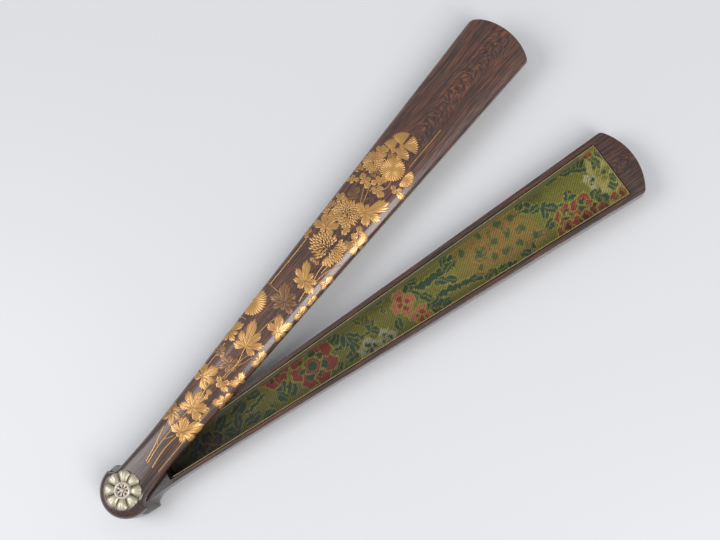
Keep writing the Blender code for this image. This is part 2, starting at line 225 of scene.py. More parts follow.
def dome_shape(x):
    along = ramp(HUB_RADIUS, 3.0 * HUB_RADIUS, x)
    return mix(HUB_DOME_POWER, DOME_POWER, along), mix(HUB_CROWN, LID_CROWN, along)


def dome_ring(turn):
    """Level of the lid: narrower by a superellipse as it rises towards the crown."""
    half = half_outline()
    x, y = half[:, 0], half[:, 1]
    power, crown = dome_shape(x)
    narrow = np.cos(turn) ** (2.0 / power)
    z = mix(LID_EDGE, crown, np.sin(turn))
    short = TIP_X - tip_sagitta(y) - x
    back = 1.0 - math.cos(turn)
    tip_x = TIP_X - tip_sagitta(y * narrow) - back - short
    shift = tip_sagitta(CORNER_Y) - tip_sagitta(CORNER_Y * narrow) - back
    side_x = x + shift * ramp(SHORTEN_FROM_X, SIDE_END_X, x)
    new_x = np.where(x < 0.0, x * narrow, np.where(x >= SIDE_END_X, tip_x, side_x))
    return both_sides(np.c_[new_x, y * narrow], z)


def lid_surface(x, y):
    """Points of the lid's outside over plan positions; past the shoulder they run down it."""
    power, crown = dome_shape(x)
    width = neck_half_width(x)
    share = np.abs(y) / width
    shoulder = 0.93
    inner = np.arccos(np.clip(share, 0.0, shoulder) ** (0.5 * power))
    last = np.arccos(shoulder ** (0.5 * power))
    length = np.hypot((1.0 - shoulder) * width, (crown - LID_EDGE) * np.sin(last))
    past = np.maximum(np.abs(y) - shoulder * width, 0.0)
    turn = np.where(past > 0.0, last * np.clip(1.0 - past / length, 0.0, 1.0), inner)
    z = mix(LID_EDGE, crown, np.sin(turn)) - np.clip(past - length, 0.0, 1.0)
    across = np.sign(y) * width * np.cos(turn) ** (2.0 / power)
    return np.stack([x, np.where(past > 0.0, across, y), z], axis=-1)


def lay_on_lid(flat):
    """Bend flat relief, rows of (x, y, height), onto the lid's outside."""
    x, y, height = flat[:, 0], flat[:, 1], flat[:, 2]
    step = 0.04
    here = lid_surface(x, y)
    along = lid_surface(x + step, y) - lid_surface(x - step, y)
    across = lid_surface(x, y + step) - lid_surface(x, y - step)
    normal = np.cross(along, across)
    normal /= np.maximum(np.linalg.norm(normal, axis=1, keepdims=True), 1e-9)
    return here + normal * height[:, None]


def to_world(points, on_lid):
    """Metres in the row frame from millimetres about the rivet."""
    points = np.asarray(points, float) * MM
    if on_lid:
        c, s = math.cos(LID_TURN), math.sin(LID_TURN)
        turned = np.c_[c * points[:, 0] - s * points[:, 1], s * points[:, 0] + c * points[:, 1]]
        points = np.c_[turned, points[:, 2]]
    return points + (PIN_X, 0.0, 0.0)


# ---------------------------------------------------------------- meshes

def new_mesh(name, points, faces):
    mesh = bpy.data.meshes.new(name)
    mesh.from_pydata([tuple(p) for p in points], [], faces)
    mesh.update()
    return mesh


def new_object(name, mesh):
    thing = bpy.data.objects.new(name, mesh)
    bpy.context.scene.collection.objects.link(thing)
    return thing


def drop(*things):
    for thing in things:
        bpy.data.objects.remove(thing, do_unlink=True)


def ring_faces(rings, count):
    """Quads between rings of count points, each ring after the other."""
    faces = []
    for ring in range(rings - 1):
        low, high = ring * count, (ring + 1) * count
        for here in range(count):
            after = (here + 1) % count
            faces.append((low + here, low + after, high + after, high + here))
    return faces


def ladder_cap(first, count, flip):
    """Cap of a ring that is mirrored about y = 0, in quads from side to side."""
    half = count // 2
    faces = []
    for step in range(half):
        a, b = first + step, first + step + 1
        c, d = first + (count - step - 1) % count, first + (count - step) % count
        corners = list(dict.fromkeys([a, b, c, d]))
        faces.append(tuple(reversed(corners)) if flip else tuple(corners))
    return faces


def lofted(name, rings, on_lid):
    """Closed body through mirrored rings, from the lowest to the highest."""
    count = len(rings[0])
    points = to_world(np.vstack(rings), on_lid)
    faces = [tuple(reversed(f)) for f in ring_faces(len(rings), count)]
    faces += ladder_cap(0, count, False) + ladder_cap((len(rings) - 1) * count, count, True)
    return new_object(name, new_mesh(name, points, faces))


def block(name, rings, on_lid):
    """Closed body through rings of any outline, with one flat face on each end."""
    count = len(rings[0])
    points = to_world(np.vstack(rings), on_lid)
    faces = ring_faces(len(rings), count)
    faces.append(tuple(reversed(range(count))))
    faces.append(tuple(range((len(rings) - 1) * count, len(rings) * count)))
    return new_object(name, new_mesh(name, points, faces))


def disc_ring(radius, z, steps=96):
    turns = np.linspace(0.0, 2.0 * math.pi, steps, endpoint=False)
    return np.c_[radius * np.cos(turns), radius * np.sin(turns), np.full(steps, z)]


def turned_body(name, profile, on_lid, steps=96):
    """Body turned about the rivet from a closed profile of (radius, height)."""
    rings = [disc_ring(max(radius, 1e-4), z, steps) for radius, z in profile]
    points = to_world(np.vstack(rings), on_lid)
    total = len(rings) * steps
    faces = [tuple(v % total for v in face) for face in ring_faces(len(rings) + 1, steps)]
    thing = new_object(name, new_mesh(name, points, faces))
    outwards(thing)
    return thing


def outwards(thing):
    """Merge a body's doubles and turn its faces out."""
    shape = bmesh.new()
    shape.from_mesh(thing.data)
    bmesh.ops.remove_doubles(shape, verts=shape.verts, dist=MERGE_DISTANCE)
    bmesh.ops.dissolve_degenerate(shape, dist=FLAT_DISTANCE, edges=shape.edges)
    bmesh.ops.recalc_face_normals(shape, faces=shape.faces)
    shape.to_mesh(thing.data)
    shape.free()


def cut(thing, *cutters):
    for cutter in cutters:
        outwards(cutter)
        boolean = thing.modifiers.new(cutter.name, "BOOLEAN")
        boolean.operation = "DIFFERENCE"
        boolean.solver = "EXACT"
        boolean.object = cutter
    bake(thing)
    outwards(thing)
    drop(*cutters)


def bake(thing):
    """Replace a piece's mesh by its evaluated one and take its modifiers off."""
    depsgraph = bpy.context.evaluated_depsgraph_get()
    mesh = bpy.data.meshes.new_from_object(thing.evaluated_get(depsgraph), depsgraph=depsgraph)
    if thing.type != "MESH":
        name = thing.name
        thing.name = name + "_path"
        fresh = new_object(name, mesh)
        drop(thing)
        return fresh
    thing.modifiers.clear()
    thing.data = mesh
    return thing


def store(mesh, name, kind, values):
    """Keep one value for each point of a mesh as a named attribute."""
    field = {"FLOAT": "value", "FLOAT_VECTOR": "vector", "FLOAT_COLOR": "color"}[kind]
    attribute = mesh.attributes.new(name, kind, "POINT")
    attribute.data.foreach_set(field, np.asarray(values, np.float32).ravel())


def paint(thing, material):
    thing.data.materials.clear()
    thing.data.materials.append(material)


def join(name, things):
    """One piece from several, keeping their attributes."""
    with bpy.context.temp_override(active_object=things[0], selected_editable_objects=things):
        bpy.ops.object.join()
    things[0].name = name
    things[0].data.name = name
    return things[0]


# ---------------------------------------------------------------- node helpers

def put(tree, kind, inputs=None, **settings):
    """Add a node, set it, and feed its inputs with values or other sockets."""
    node = tree.nodes.new(kind)
    for key, value in settings.items():
        setattr(node, key, value)
    for key, value in (inputs or {}).items():
        socket = node.inputs[key]
        if isinstance(value, bpy.types.NodeSocket):
            tree.links.new(value, socket)
        else:
            socket.default_value = value
    return node


def calc(tree, operation, a, b=0.0, c=0.0):
    node = put(tree, "ShaderNodeMath", {0: a, 1: b, 2: c}, operation=operation)
    return node.outputs[0]


def blend_colors(tree, share, a, b, mode="MIX"):
    inputs = {0: share, 6: a, 7: b}
    node = put(tree, "ShaderNodeMix", inputs, data_type="RGBA", blend_type=mode)
    return node.outputs[2]


def color_ramp(tree, value, stops):
    node = put(tree, "ShaderNodeValToRGB", {0: value})
    line = node.color_ramp
    while len(line.elements) < len(stops):
        line.elements.new(0.5)
    for element, (place, color) in zip(line.elements, stops):
        element.position = place
        element.color = (*color, 1.0)
    return node.outputs[0]


def toned(color, factor):
    return tuple(min(1.0, c * factor) for c in color)


def grey_ramp(tree, value, *stops):
    return color_ramp(tree, value, [(place, (tone, tone, tone)) for place, tone in stops])


def new_material(name):
    material = bpy.data.materials.new(name)
    material.use_nodes = True
    tree = material.node_tree
    return material, tree, tree.nodes["Principled BSDF"]


def vector_math(tree, operation, a, b):
    return put(tree, "ShaderNodeVectorMath", {0: a, 1: b}, operation=operation).outputs[0]


def scaled(tree, vector, factor):
    inputs = {0: vector, "Scale": factor}
    return put(tree, "ShaderNodeVectorMath", inputs, operation="SCALE").outputs[0]


def piece_coordinates(tree, on_lid):
    """Object coordinates in millimetres about the rivet, along the tray or the lid."""
    place = put(tree, "ShaderNodeTexCoord").outputs["Object"]
    turn = -LID_TURN if on_lid else 0.0
    centred = vector_math(tree, "ADD", place, (-PIN_X, 0.0, 0.0))
    turned = put(tree, "ShaderNodeMapping", {0: centred, 2: (0.0, 0.0, turn), 3: (1.0,) * 3})
    return vector_math(tree, "MULTIPLY", turned.outputs[0], (1.0 / MM,) * 3)


def noise(tree, vector, scale, detail, rough, stretch=(1.0, 1.0, 1.0)):
    stretched = vector_math(tree, "MULTIPLY", vector, stretch)
    inputs = {"Vector": stretched, "Scale": scale, "Detail": detail, "Roughness": rough}
    return put(tree, "ShaderNodeTexNoise", inputs).outputs[0]


def bump(tree, height, strength, distance):
    inputs = {"Height": height, "Strength": strength, "Distance": distance}
    return put(tree, "ShaderNodeBump", inputs).outputs[0]


# ---------------------------------------------------------------- geometry node helpers

class NodeModifier:
    """A Geometry Nodes tree with named inputs that ends in Realize Instances and Set Material."""

    def __init__(self, name):
        self.tree = bpy.data.node_groups.new(name, "GeometryNodeTree")
        self.tree.interface.new_socket("Geometry", in_out="INPUT", socket_type="NodeSocketGeometry")
        self.tree.interface.new_socket("Geometry", in_out="OUTPUT", socket_type="NodeSocketGeometry")
        self.source = self.tree.nodes.new("NodeGroupInput")
        self.identifiers = {}

    def input(self, name, kind, default=None):
        item = self.tree.interface.new_socket(name, in_out="INPUT", socket_type="NodeSocket" + kind)
        if default is not None:
            item.default_value = default
        self.identifiers[name] = item.identifier
        return self.source.outputs[name]

    def rows_along(self, step):
        """The incoming path with its points evenly spaced."""
        inputs = {"Curve": self.source.outputs[0], "Length": step}
        return put(self.tree, "GeometryNodeResampleCurve", inputs, mode="LENGTH").outputs[0]

    def finish(self, geometry):
        material = self.input("Material", "Material")
        solid = put(self.tree, "GeometryNodeRealizeInstances", {0: geometry}).outputs[0]
        painted = put(self.tree, "GeometryNodeSetMaterial", {0: solid, 2: material}).outputs[0]
        put(self.tree, "NodeGroupOutput", {0: painted})

    def use(self, thing, **values):
        modifier = thing.modifiers.new(self.tree.name, "NODES")
        modifier.node_group = self.tree
        for name, value in values.items():
            modifier[self.identifiers[name.replace("_", " ")]] = value
        return bake(thing)


GOLDEN_ANGLE = 2.399963


def petal_fan_nodes():
    """Petals on a sunflower spiral, each pointing away from the flower's heart."""
    made = NodeModifier("petal_fan")
    tree = made.tree
    petal = made.input("Petal", "Object")
    count = made.input("Count", "Int", 60)
    radius = made.input("Radius", "Float", 7.0)
    upper = made.input("Upper stretch", "Float", 1.0)
    lower = made.input("Lower stretch", "Float", 1.0)
    slit = made.input("Slit", "Float", 0.0)
    small = made.input("Inner size", "Float", 0.6)
    large = made.input("Outer size", "Float", 1.0)
    lift = made.input("Heart lift", "Float", 0.3)
    seed = made.input("Seed", "Int", 7)
    index = put(tree, "GeometryNodeInputIndex").outputs[0]
    out = calc(tree, "SQRT", calc(tree, "DIVIDE", calc(tree, "ADD", index, 0.4), count))
    turn = calc(tree, "MULTIPLY", index, GOLDEN_ANGLE)
    reach = calc(tree, "MULTIPLY", out, radius)
    x = calc(tree, "MULTIPLY", reach, calc(tree, "COSINE", turn))
    y = calc(tree, "MULTIPLY", reach, calc(tree, "SINE", turn))
    above = calc(tree, "GREATER_THAN", y, 0.0)
    below = calc(tree, "SUBTRACT", 1.0, above)
    stretch = calc(tree, "ADD", calc(tree, "MULTIPLY", above, upper), calc(tree, "MULTIPLY", below, lower))
    bent = calc(tree, "SUBTRACT", calc(tree, "MULTIPLY", y, stretch), calc(tree, "MULTIPLY", below, slit))
    high = calc(tree, "MULTIPLY", calc(tree, "SUBTRACT", 1.0, out), lift)
    place = put(tree, "ShaderNodeCombineXYZ", {0: x, 1: bent, 2: high}).outputs[0]
    dots = put(tree, "GeometryNodePoints", {"Count": count, "Position": place}).outputs[0]
    jitter = put(tree, "FunctionNodeRandomValue", {"Seed": seed}, data_type="FLOAT")
    jitter.inputs[2].default_value = 0.92
    jitter.inputs[3].default_value = 1.08
    growth = calc(tree, "MULTIPLY", out, calc(tree, "SUBTRACT", large, small))
    size = calc(tree, "MULTIPLY", calc(tree, "ADD", small, growth), jitter.outputs[1])
    aim = put(tree, "ShaderNodeCombineXYZ", {2: calc(tree, "ARCTAN2", bent, x)}).outputs[0]
    shape = put(tree, "GeometryNodeObjectInfo", {"Object": petal}).outputs["Geometry"]
    inputs = {"Points": dots, "Instance": shape, "Rotation": aim, "Scale": size}
    made.finish(put(tree, "GeometryNodeInstanceOnPoints", inputs).outputs[0])
    return made


def ring_of_nodes():
    """Copies of one shape turned evenly about the vertical axis."""
    made = NodeModifier("ring_of")
    tree = made.tree
    shape = put(tree, "GeometryNodeObjectInfo", {"Object": made.input("Shape", "Object")})
    count = made.input("Count", "Int", 8)
    first = made.input("First angle", "Float", 0.0)
    dots = put(tree, "GeometryNodePoints", {"Count": count}).outputs[0]
    index = put(tree, "GeometryNodeInputIndex").outputs[0]
    turn = calc(tree, "MULTIPLY", calc(tree, "DIVIDE", index, count), 2.0 * math.pi)
    aim = put(tree, "ShaderNodeCombineXYZ", {2: calc(tree, "ADD", turn, first)}).outputs[0]
    inputs = {"Points": dots, "Instance": shape.outputs["Geometry"], "Rotation": aim}
    made.finish(put(tree, "GeometryNodeInstanceOnPoints", inputs).outputs[0])
    return made


def raised_line_nodes():
    """Half-round raised line along every spline."""
    made = NodeModifier("raised_line")
    tree = made.tree
    width = made.input("Half width", "Float", 0.25)
    step = made.input("Step", "Float", 0.6)
    sides = made.input("Sides", "Int", 8)
    rows = made.rows_along(step)
    ring = put(tree, "GeometryNodeCurvePrimitiveCircle", {"Resolution": sides, "Radius": width}).outputs[0]
    inputs = {"Curve": rows, "Profile Curve": ring, "Fill Caps": True}
    made.finish(put(tree, "GeometryNodeCurveToMesh", inputs).outputs[0])
    return made


def twisted_thread_nodes():
    """Two strands wound round each other along a path."""
    made = NodeModifier("twisted_thread")
    tree = made.tree
    strand = made.input("Strand radius", "Float", 0.00016)
    pitch = made.input("Pitch", "Float", 0.0012)
    step = made.input("Step", "Float", 0.00015)
    rows = made.rows_along(step)
    along = put(tree, "GeometryNodeSplineParameter").outputs["Length"]
    normal = put(tree, "GeometryNodeInputNormal").outputs[0]
    tangent = put(tree, "GeometryNodeInputTangent").outputs[0]
    side = vector_math(tree, "CROSS_PRODUCT", tangent, normal)
    ring = put(tree, "GeometryNodeCurvePrimitiveCircle", {"Resolution": 6, "Radius": strand}).outputs[0]
    parts = put(tree, "GeometryNodeJoinGeometry")
    for phase in (0.0, math.pi):
        turn = calc(tree, "MULTIPLY_ADD", calc(tree, "DIVIDE", along, pitch), 2.0 * math.pi, phase)
        offsets = []
        for direction, wave in ((normal, "COSINE"), (side, "SINE")):
            reach = calc(tree, "MULTIPLY", calc(tree, wave, turn), strand)
            offsets.append(scaled(tree, direction, reach))
        shift = vector_math(tree, "ADD", *offsets)
        wound = put(tree, "GeometryNodeSetPosition", {0: rows, "Offset": shift}).outputs[0]
        inputs = {"Curve": wound, "Profile Curve": ring, "Fill Caps": True}
        rope = put(tree, "GeometryNodeCurveToMesh", inputs).outputs[0]
        tree.links.new(rope, parts.inputs[0])
    made.finish(parts.outputs[0])
    return made


def cloth_rib_nodes():
    """Diagonal ribs raised on a cloth that carries its flat coordinates."""
    made = NodeModifier("cloth_ribs")
    tree = made.tree
    pitch = made.input("Pitch", "Float", 0.001)
    height = made.input("Height", "Float", 0.00006)
    lean = made.input("Lean", "Float", 0.85)
    kept = "GeometryNodeInputNamedAttribute"
    flat = put(tree, kept, {"Name": "cloth"}, data_type="FLOAT_VECTOR").outputs[0]
    face = put(tree, kept, {"Name": "right_side"}, data_type="FLOAT").outputs[0]
    parts = put(tree, "ShaderNodeSeparateXYZ", {0: flat})
    across = calc(tree, "ADD", calc(tree, "MULTIPLY", parts.outputs[0], calc(tree, "SINE", lean)),
                  calc(tree, "MULTIPLY", parts.outputs[1], calc(tree, "COSINE", lean)))
    wave = calc(tree, "SINE", calc(tree, "MULTIPLY", calc(tree, "DIVIDE", across, pitch), 2.0 * math.pi))
    reach = calc(tree, "MULTIPLY", calc(tree, "MULTIPLY", wave, height), face)
    shift = scaled(tree, put(tree, "GeometryNodeInputNormal").outputs[0], reach)
    made.finish(put(tree, "GeometryNodeSetPosition", {0: made.source.outputs[0], "Offset": shift}).outputs[0])
    return made


# ---------------------------------------------------------------- materials

def wood_material(name, wood, on_lid, depth=1.0):
    """Dark hardwood: hair-fine lines along it and flecked arches down its middle."""
    material, tree, shader = new_material(name)
    place = piece_coordinates(tree, on_lid)
    parts = put(tree, "ShaderNodeSeparateXYZ", {0: place})
    x, y, z = parts.outputs
    drift = calc(tree, "SUBTRACT", noise(tree, place, 0.03, 2.0, 0.5, (1.0, 3.0, 3.0)), 0.5)
    bent_y = calc(tree, "MULTIPLY_ADD", drift, 3.0, y)
    bent = put(tree, "ShaderNodeCombineXYZ", {0: x, 1: bent_y, 2: z}).outputs[0]
    hairs = noise(tree, bent, 1.0, 2.0, 0.5, (0.030, 2.3, 2.3))
    dashes = noise(tree, bent, 1.0, 2.0, 0.6, (0.14, 2.8, 2.8))
    off = calc(tree, "ADD", bent_y, 1.0)
    arch = calc(tree, "MULTIPLY", calc(tree, "MULTIPLY", off, off), 0.20)
    wobble = calc(tree, "MULTIPLY", calc(tree, "SUBTRACT", noise(tree, place, 0.16, 3.0, 0.6), 0.5), 9.0)
    along = calc(tree, "ADD", calc(tree, "ADD", x, arch), wobble)
    arched = put(tree, "ShaderNodeCombineXYZ", {0: along, 1: bent_y, 2: z}).outputs[0]
    flecks = noise(tree, arched, 1.0, 3.0, 0.6, (0.75, 0.50, 0.50))
    middle = calc(tree, "DIVIDE", calc(tree, "ABSOLUTE", off), 14.0)
    share = calc(tree, "MULTIPLY", grey_ramp(tree, middle, (0.15, wood.arches), (0.62, 0.0)),
                 grey_ramp(tree, calc(tree, "DIVIDE", x, 300.0), (0.25, 0.15), (0.6, 1.0)))
    lines = calc(tree, "ADD", calc(tree, "MULTIPLY", hairs, 0.55), calc(tree, "MULTIPLY", dashes, 0.45))
    value = calc(tree, "ADD", lines, calc(tree, "MULTIPLY", calc(tree, "SUBTRACT", flecks, lines), share))
    stops = [(0.41, wood.dark), (0.50, wood.middle), (0.61, wood.light)]
    grain = color_ramp(tree, value, [(place_at, toned(color, depth)) for place_at, color in stops])
    broad = noise(tree, place, 0.05, 2.0, 0.5, (1.0, 2.5, 2.5))
    tint = color_ramp(tree, broad, [(0.35, (0.80, 0.82, 0.88)), (0.65, (1.16, 0.94, 0.80))])
    hub_shade = grey_ramp(tree, calc(tree, "DIVIDE", x, 300.0), (0.02, 0.42), (0.17, 1.0))
    color = blend_colors(tree, 1.0, blend_colors(tree, 1.0, grain, tint, "MULTIPLY"), hub_shade, "MULTIPLY")
    tree.links.new(color, shader.inputs["Base Color"])
    tree.links.new(grey_ramp(tree, value, (0.35, 0.46), (0.65, 0.32)), shader.inputs["Roughness"])
    shader.inputs["Coat Weight"].default_value = wood.gloss
    shader.inputs["Coat Roughness"].default_value = 0.13
    shader.inputs["Coat IOR"].default_value = 1.5
    tree.links.new(bump(tree, value, 0.18, 0.00005), shader.inputs["Normal"])
    return material


def gold_material(name, gold):
    """Sprinkled gold on raised lacquer; the mesh's tone attribute goes from bright to brown."""
    material, tree, shader = new_material(name)
    place = piece_coordinates(tree, True)
    tone = put(tree, "ShaderNodeAttribute", attribute_name="tone").outputs["Fac"]
    dust = noise(tree, place, 5.0, 3.0, 0.7)
    cloud = noise(tree, place, 0.35, 3.0, 0.6)
    bright = color_ramp(tree, dust, [(0.3, toned(gold.color, 0.78)), (0.7, toned(gold.color, 1.15))])
    brown = color_ramp(tree, dust, [(0.3, toned(gold.aged, 0.7)), (0.7, tuple(gold.aged))])
    share = calc(tree, "ADD", tone, calc(tree, "MULTIPLY", calc(tree, "SUBTRACT", cloud, 0.5), 0.5))
    share = put(tree, "ShaderNodeClamp", {0: share}).outputs[0]
    tree.links.new(blend_colors(tree, share, bright, brown), shader.inputs["Base Color"])
    shader.inputs["Metallic"].default_value = 0.6
    shader.inputs["Coat Weight"].default_value = 0.8
    shader.inputs["Coat Roughness"].default_value = 0.14
    tree.links.new(grey_ramp(tree, dust, (0.3, 0.42), (0.7, 0.28)), shader.inputs["Roughness"])
    tree.links.new(bump(tree, dust, 0.3, 0.00005), shader.inputs["Normal"])
    return material


def brocade_material(name, lean, pitch):
    """Figured silk: the weave's colours, with their painted shade, come with the mesh, the threads from its
    flat map.
    """
    material, tree, shader = new_material(name)
    # woven colours, with painted shade towards the hub and along the ramp's foot
    woven = put(tree, "ShaderNodeAttribute", attribute_name="woven").outputs["Color"]
    flat = put(tree, "ShaderNodeAttribute", attribute_name="cloth").outputs["Vector"]
    turned = put(tree, "ShaderNodeMapping", {0: flat, 2: (0.0, 0.0, lean), 3: (1.0 / MM,) * 3}).outputs[0]
    along, across, _ = put(tree, "ShaderNodeSeparateXYZ", {0: turned}).outputs

    def wave(distance, per_mm):
        turn = calc(tree, "MULTIPLY", distance, per_mm)
        return calc(tree, "MULTIPLY_ADD", calc(tree, "SINE", turn), 0.5, 0.5)

    rib = wave(along, 2.0 * math.pi / (pitch / MM))
    thread = wave(across, 16.0)
    fuzz = noise(tree, turned, 1.6, 3.0, 0.6, (1.0, 0.5, 1.0))
    shadow = grey_ramp(tree, rib, (0.0, 0.62), (0.7, 1.06))
    color = blend_colors(tree, 1.0, woven, shadow, "MULTIPLY")
    color = blend_colors(tree, 1.0, color, grey_ramp(tree, thread, (0.0, 0.86), (1.0, 1.05)), "MULTIPLY")
    color = blend_colors(tree, 1.0, color, grey_ramp(tree, fuzz, (0.3, 0.66), (0.7, 1.22)), "MULTIPLY")
    tree.links.new(color, shader.inputs["Base Color"])
    shader.inputs["Roughness"].default_value = 0.62
    shader.inputs["Sheen Weight"].default_value = 0.25
    shader.inputs["Sheen Roughness"].default_value = 0.4
    height = calc(tree, "ADD", rib, calc(tree, "MULTIPLY", thread, 0.4))
    tree.links.new(bump(tree, height, 0.5, 0.00008), shader.inputs["Normal"])
    return material


def metal_material(name, bright, dull, roughness, metallic=1.0, grain=2.0, crevice=0.0):
    """Hand-finished metal: cloudy tarnish, fine scratches and darker low places."""
    material, tree, shader = new_material(name)
    place = piece_coordinates(tree, True)
    cloud = noise(tree, place, 0.5 * grain, 4.0, 0.6)
    fine = noise(tree, place, 4.0 * grain, 2.0, 0.6, (1.0, 0.3, 1.0))
    value = calc(tree, "ADD", calc(tree, "MULTIPLY", cloud, 0.7), calc(tree, "MULTIPLY", fine, 0.3))
    color = color_ramp(tree, value, [(0.35, tuple(dull)), (0.6, tuple(bright))])
    if crevice:
        deep = put(tree, "ShaderNodeAttribute", attribute_name="tone").outputs["Fac"]
        color = blend_colors(tree, calc(tree, "MULTIPLY", deep, crevice), color, (0.26, 0.16, 0.07, 1.0))
    tree.links.new(color, shader.inputs["Base Color"])
    shader.inputs["Metallic"].default_value = metallic
    rough = grey_ramp(tree, value, (0.3, roughness * 1.35), (0.7, roughness * 0.8))
    tree.links.new(rough, shader.inputs["Roughness"])
    tree.links.new(bump(tree, value, 0.2, 0.00004), shader.inputs["Normal"])
    return material


def floor_material(stage):
    """Pale satin floor with a faint cloudiness."""
    material, tree, shader = new_material("pale_floor")
    place = put(tree, "ShaderNodeTexCoord").outputs["Object"]
    cloud = noise(tree, place, 3.0, 2.0, 0.5)
    stops = [(0.3, toned(stage.floor_color, 0.985)), (0.7, tuple(stage.floor_color))]
    tree.links.new(color_ramp(tree, cloud, stops), shader.inputs["Base Color"])
    shader.inputs["Roughness"].default_value = 0.32
    shader.inputs["Specular IOR Level"].default_value = 0.35
    return material


# ---------------------------------------------------------------- gold relief

LOBE_SHARES = [0.0, 0.07, 0.30, 0.42, 0.62, 0.74, 0.88, 1.0]
LOBE_REACH = [1.0, 0.95, 0.82, 0.91, 0.74, 0.80, 0.64, 0.42]


RELIEF_SHARES = [0.12, 0.28, 0.45, 0.62, 0.78, 0.9, 0.97, 1.0, 1.0]
RELIEF_FOOT = -0.15


def polar_relief(centre, reach_of, height_of, tone, turns):
    """Closed relief over a star-shaped outline: rows of (x, y, height), faces and tones."""
    angles = np.linspace(0.0, 2.0 * math.pi, turns, endpoint=False)
    reach = reach_of(angles)
    rings = len(RELIEF_SHARES)
    tone_at = tone if callable(tone) else lambda turn, r, share: np.full(len(turn), tone)
    origin = np.zeros(1)
    points = [(*centre, float(height_of(origin, origin, origin)[0]))]
    tones = [float(tone_at(origin, origin, origin)[0])]
    for k, share in enumerate(RELIEF_SHARES):
        r = reach * share
        height = height_of(angles, r, np.full(turns, share))
        if k == rings - 1:
            height = np.full(turns, RELIEF_FOOT)
        points += list(zip(centre[0] + r * np.cos(angles), centre[1] + r * np.sin(angles), height))
        tones += list(tone_at(angles, r, np.full(turns, share)))
    bottom = len(points)
    points.append((*centre, RELIEF_FOOT))
    tones.append(0.5)
    faces = []
    last = 1 + (rings - 1) * turns
    for here in range(turns):
        after = (here + 1) % turns
        faces.append((0, 1 + here, 1 + after))
        faces.append((bottom, last + after, last + here))
    faces += [tuple(reversed([1 + v for v in face])) for face in ring_faces(rings, turns)]
    return np.array(points), faces, np.array(tones)


def leaf(x, y, lobes, tone, rise):
    """Lobed leaf; each lobe is (angle in degrees, length, greatest half width in degrees)."""
    full = 2.0 * math.pi
    lobes = sorted((math.radians(a) % full, 1.06 * length, math.radians(w + 14.0)) for a, length, w in lobes)
    count = len(lobes)

    def apart(angles, axis):
        return (angles - axis + math.pi) % (2.0 * math.pi) - math.pi

    def shares_of(angles):
        """Share of each lobe's half width, which ends midway to the next lobe."""
        rows = []
        for k, (axis, length, half) in enumerate(lobes):
            after = (lobes[(k + 1) % count][0] - axis) % (2.0 * math.pi) or 2.0 * math.pi
            before = (axis - lobes[k - 1][0]) % (2.0 * math.pi) or 2.0 * math.pi
            off = apart(angles, axis)
            rows.append(np.abs(off) / np.where(off > 0.0, min(half, 0.5 * after), min(half, 0.5 * before)))
        return np.array(rows)

    def reach_of(angles):
        best = np.full(len(angles), 0.8)
        for share, (axis, length, half) in zip(shares_of(angles), lobes):
            lobe = length * np.interp(share, LOBE_SHARES, LOBE_REACH)
            best = np.maximum(best, np.where(share < 1.0, lobe, 0.0))
        return best

    def vein(angles, r):
        line = np.zeros(len(angles))
        for share, (axis, length, half) in zip(shares_of(angles), lobes):
            inside = (share < 1.0) * smooth(0.90, 0.75, r / length)
            for turn, width in ((0.0, 0.17), (0.42, 0.10), (-0.42, 0.10)):
                off = r * np.sin(apart(angles, axis + turn * half * smooth(0.1, 0.6, r / length)))
                line = np.maximum(line, np.exp(-(off / width) ** 2) * inside)
        return line

    def height_of(angles, r, share):
        return rise * (1.0 - share ** 6) + 0.05 - 0.06 * vein(angles, r) * (share < 0.95)

    def tone_of(angles, r, share):
        return tone + 0.6 * vein(angles, r) + 0.5 * smooth(0.9, 1.0, share) - 0.05

    return polar_relief((x, y), reach_of, height_of, tone_of, turns=216)


def plate_flower(x, y, start, end, reach, teeth, tone, back, oval, axis, rise):
    """Flower seen from its side: a fan of narrow petals between two angles, with a toothed rim."""
    start, end, axis = math.radians(start), math.radians(end), math.radians(axis)
    span = end - start

    def reach_of(angles):
        share = ((angles - start) % (2.0 * math.pi)) / span
        inside = share <= 1.0
        tooth = np.abs(np.sin(math.pi * share * teeth)) ** 0.55
        edge = reach * (0.84 + 0.16 * tooth)
        closing = smooth(0.0, 0.05, share) * smooth(1.0, 0.95, share) if span < 6.2 else 1.0
        oval_share = np.sqrt(1.0 / (np.cos(angles - axis) ** 2 + (np.sin(angles - axis) / oval) ** 2))
        return np.where(inside, mix(back * reach, edge, closing), back * reach) * oval_share

    def height_of(angles, r, share):
        place = ((angles - start) % (2.0 * math.pi)) / span
        rib = np.abs(np.sin(math.pi * place * teeth)) * smooth(0.15, 0.5, share)
        return rise * (1.0 - 0.55 * share ** 2) * (1.0 - share ** 9) + 0.05 + 0.10 * rib * (share < 0.99)

    return polar_relief((x, y), reach_of, height_of, tone, turns=240)


PETAL_TONES = [0.85, 0.30, 0.0, 0.30, 0.85, 0.85]


def petal_mesh():
    """One narrow petal of a few dozen faces."""
    length, width, rise = 2.7, 0.70, 0.30
    stations = [(0.0, 0.25), (0.25, 0.75), (0.55, 1.0), (0.82, 0.85), (1.0, 0.3)]
    points, faces = [], []
    for along, wide in stations:
        x = (along - 0.5) * length
        high = rise * mix(0.55, 1.0, along) * min(1.0, wide + 0.3)
        section = ((-1.0, 0.0), (-0.6, 0.75), (0.0, 1.0), (0.6, 0.75), (1.0, 0.0))
        points += [(x, side * wide * width, up * high) for side, up in section]
        points.append((x, 0.0, -0.3))
    for row in range(len(stations) - 1):
        low, high = row * 6, row * 6 + 6
        for k in range(6):
            after = (k + 1) % 6
            faces.append((low + k, high + k, high + after, low + after))
    faces.append(tuple(range(6)))
    faces.append(tuple(reversed(range((len(stations) - 1) * 6, len(stations) * 6))))
    return new_mesh("petal", points, faces)


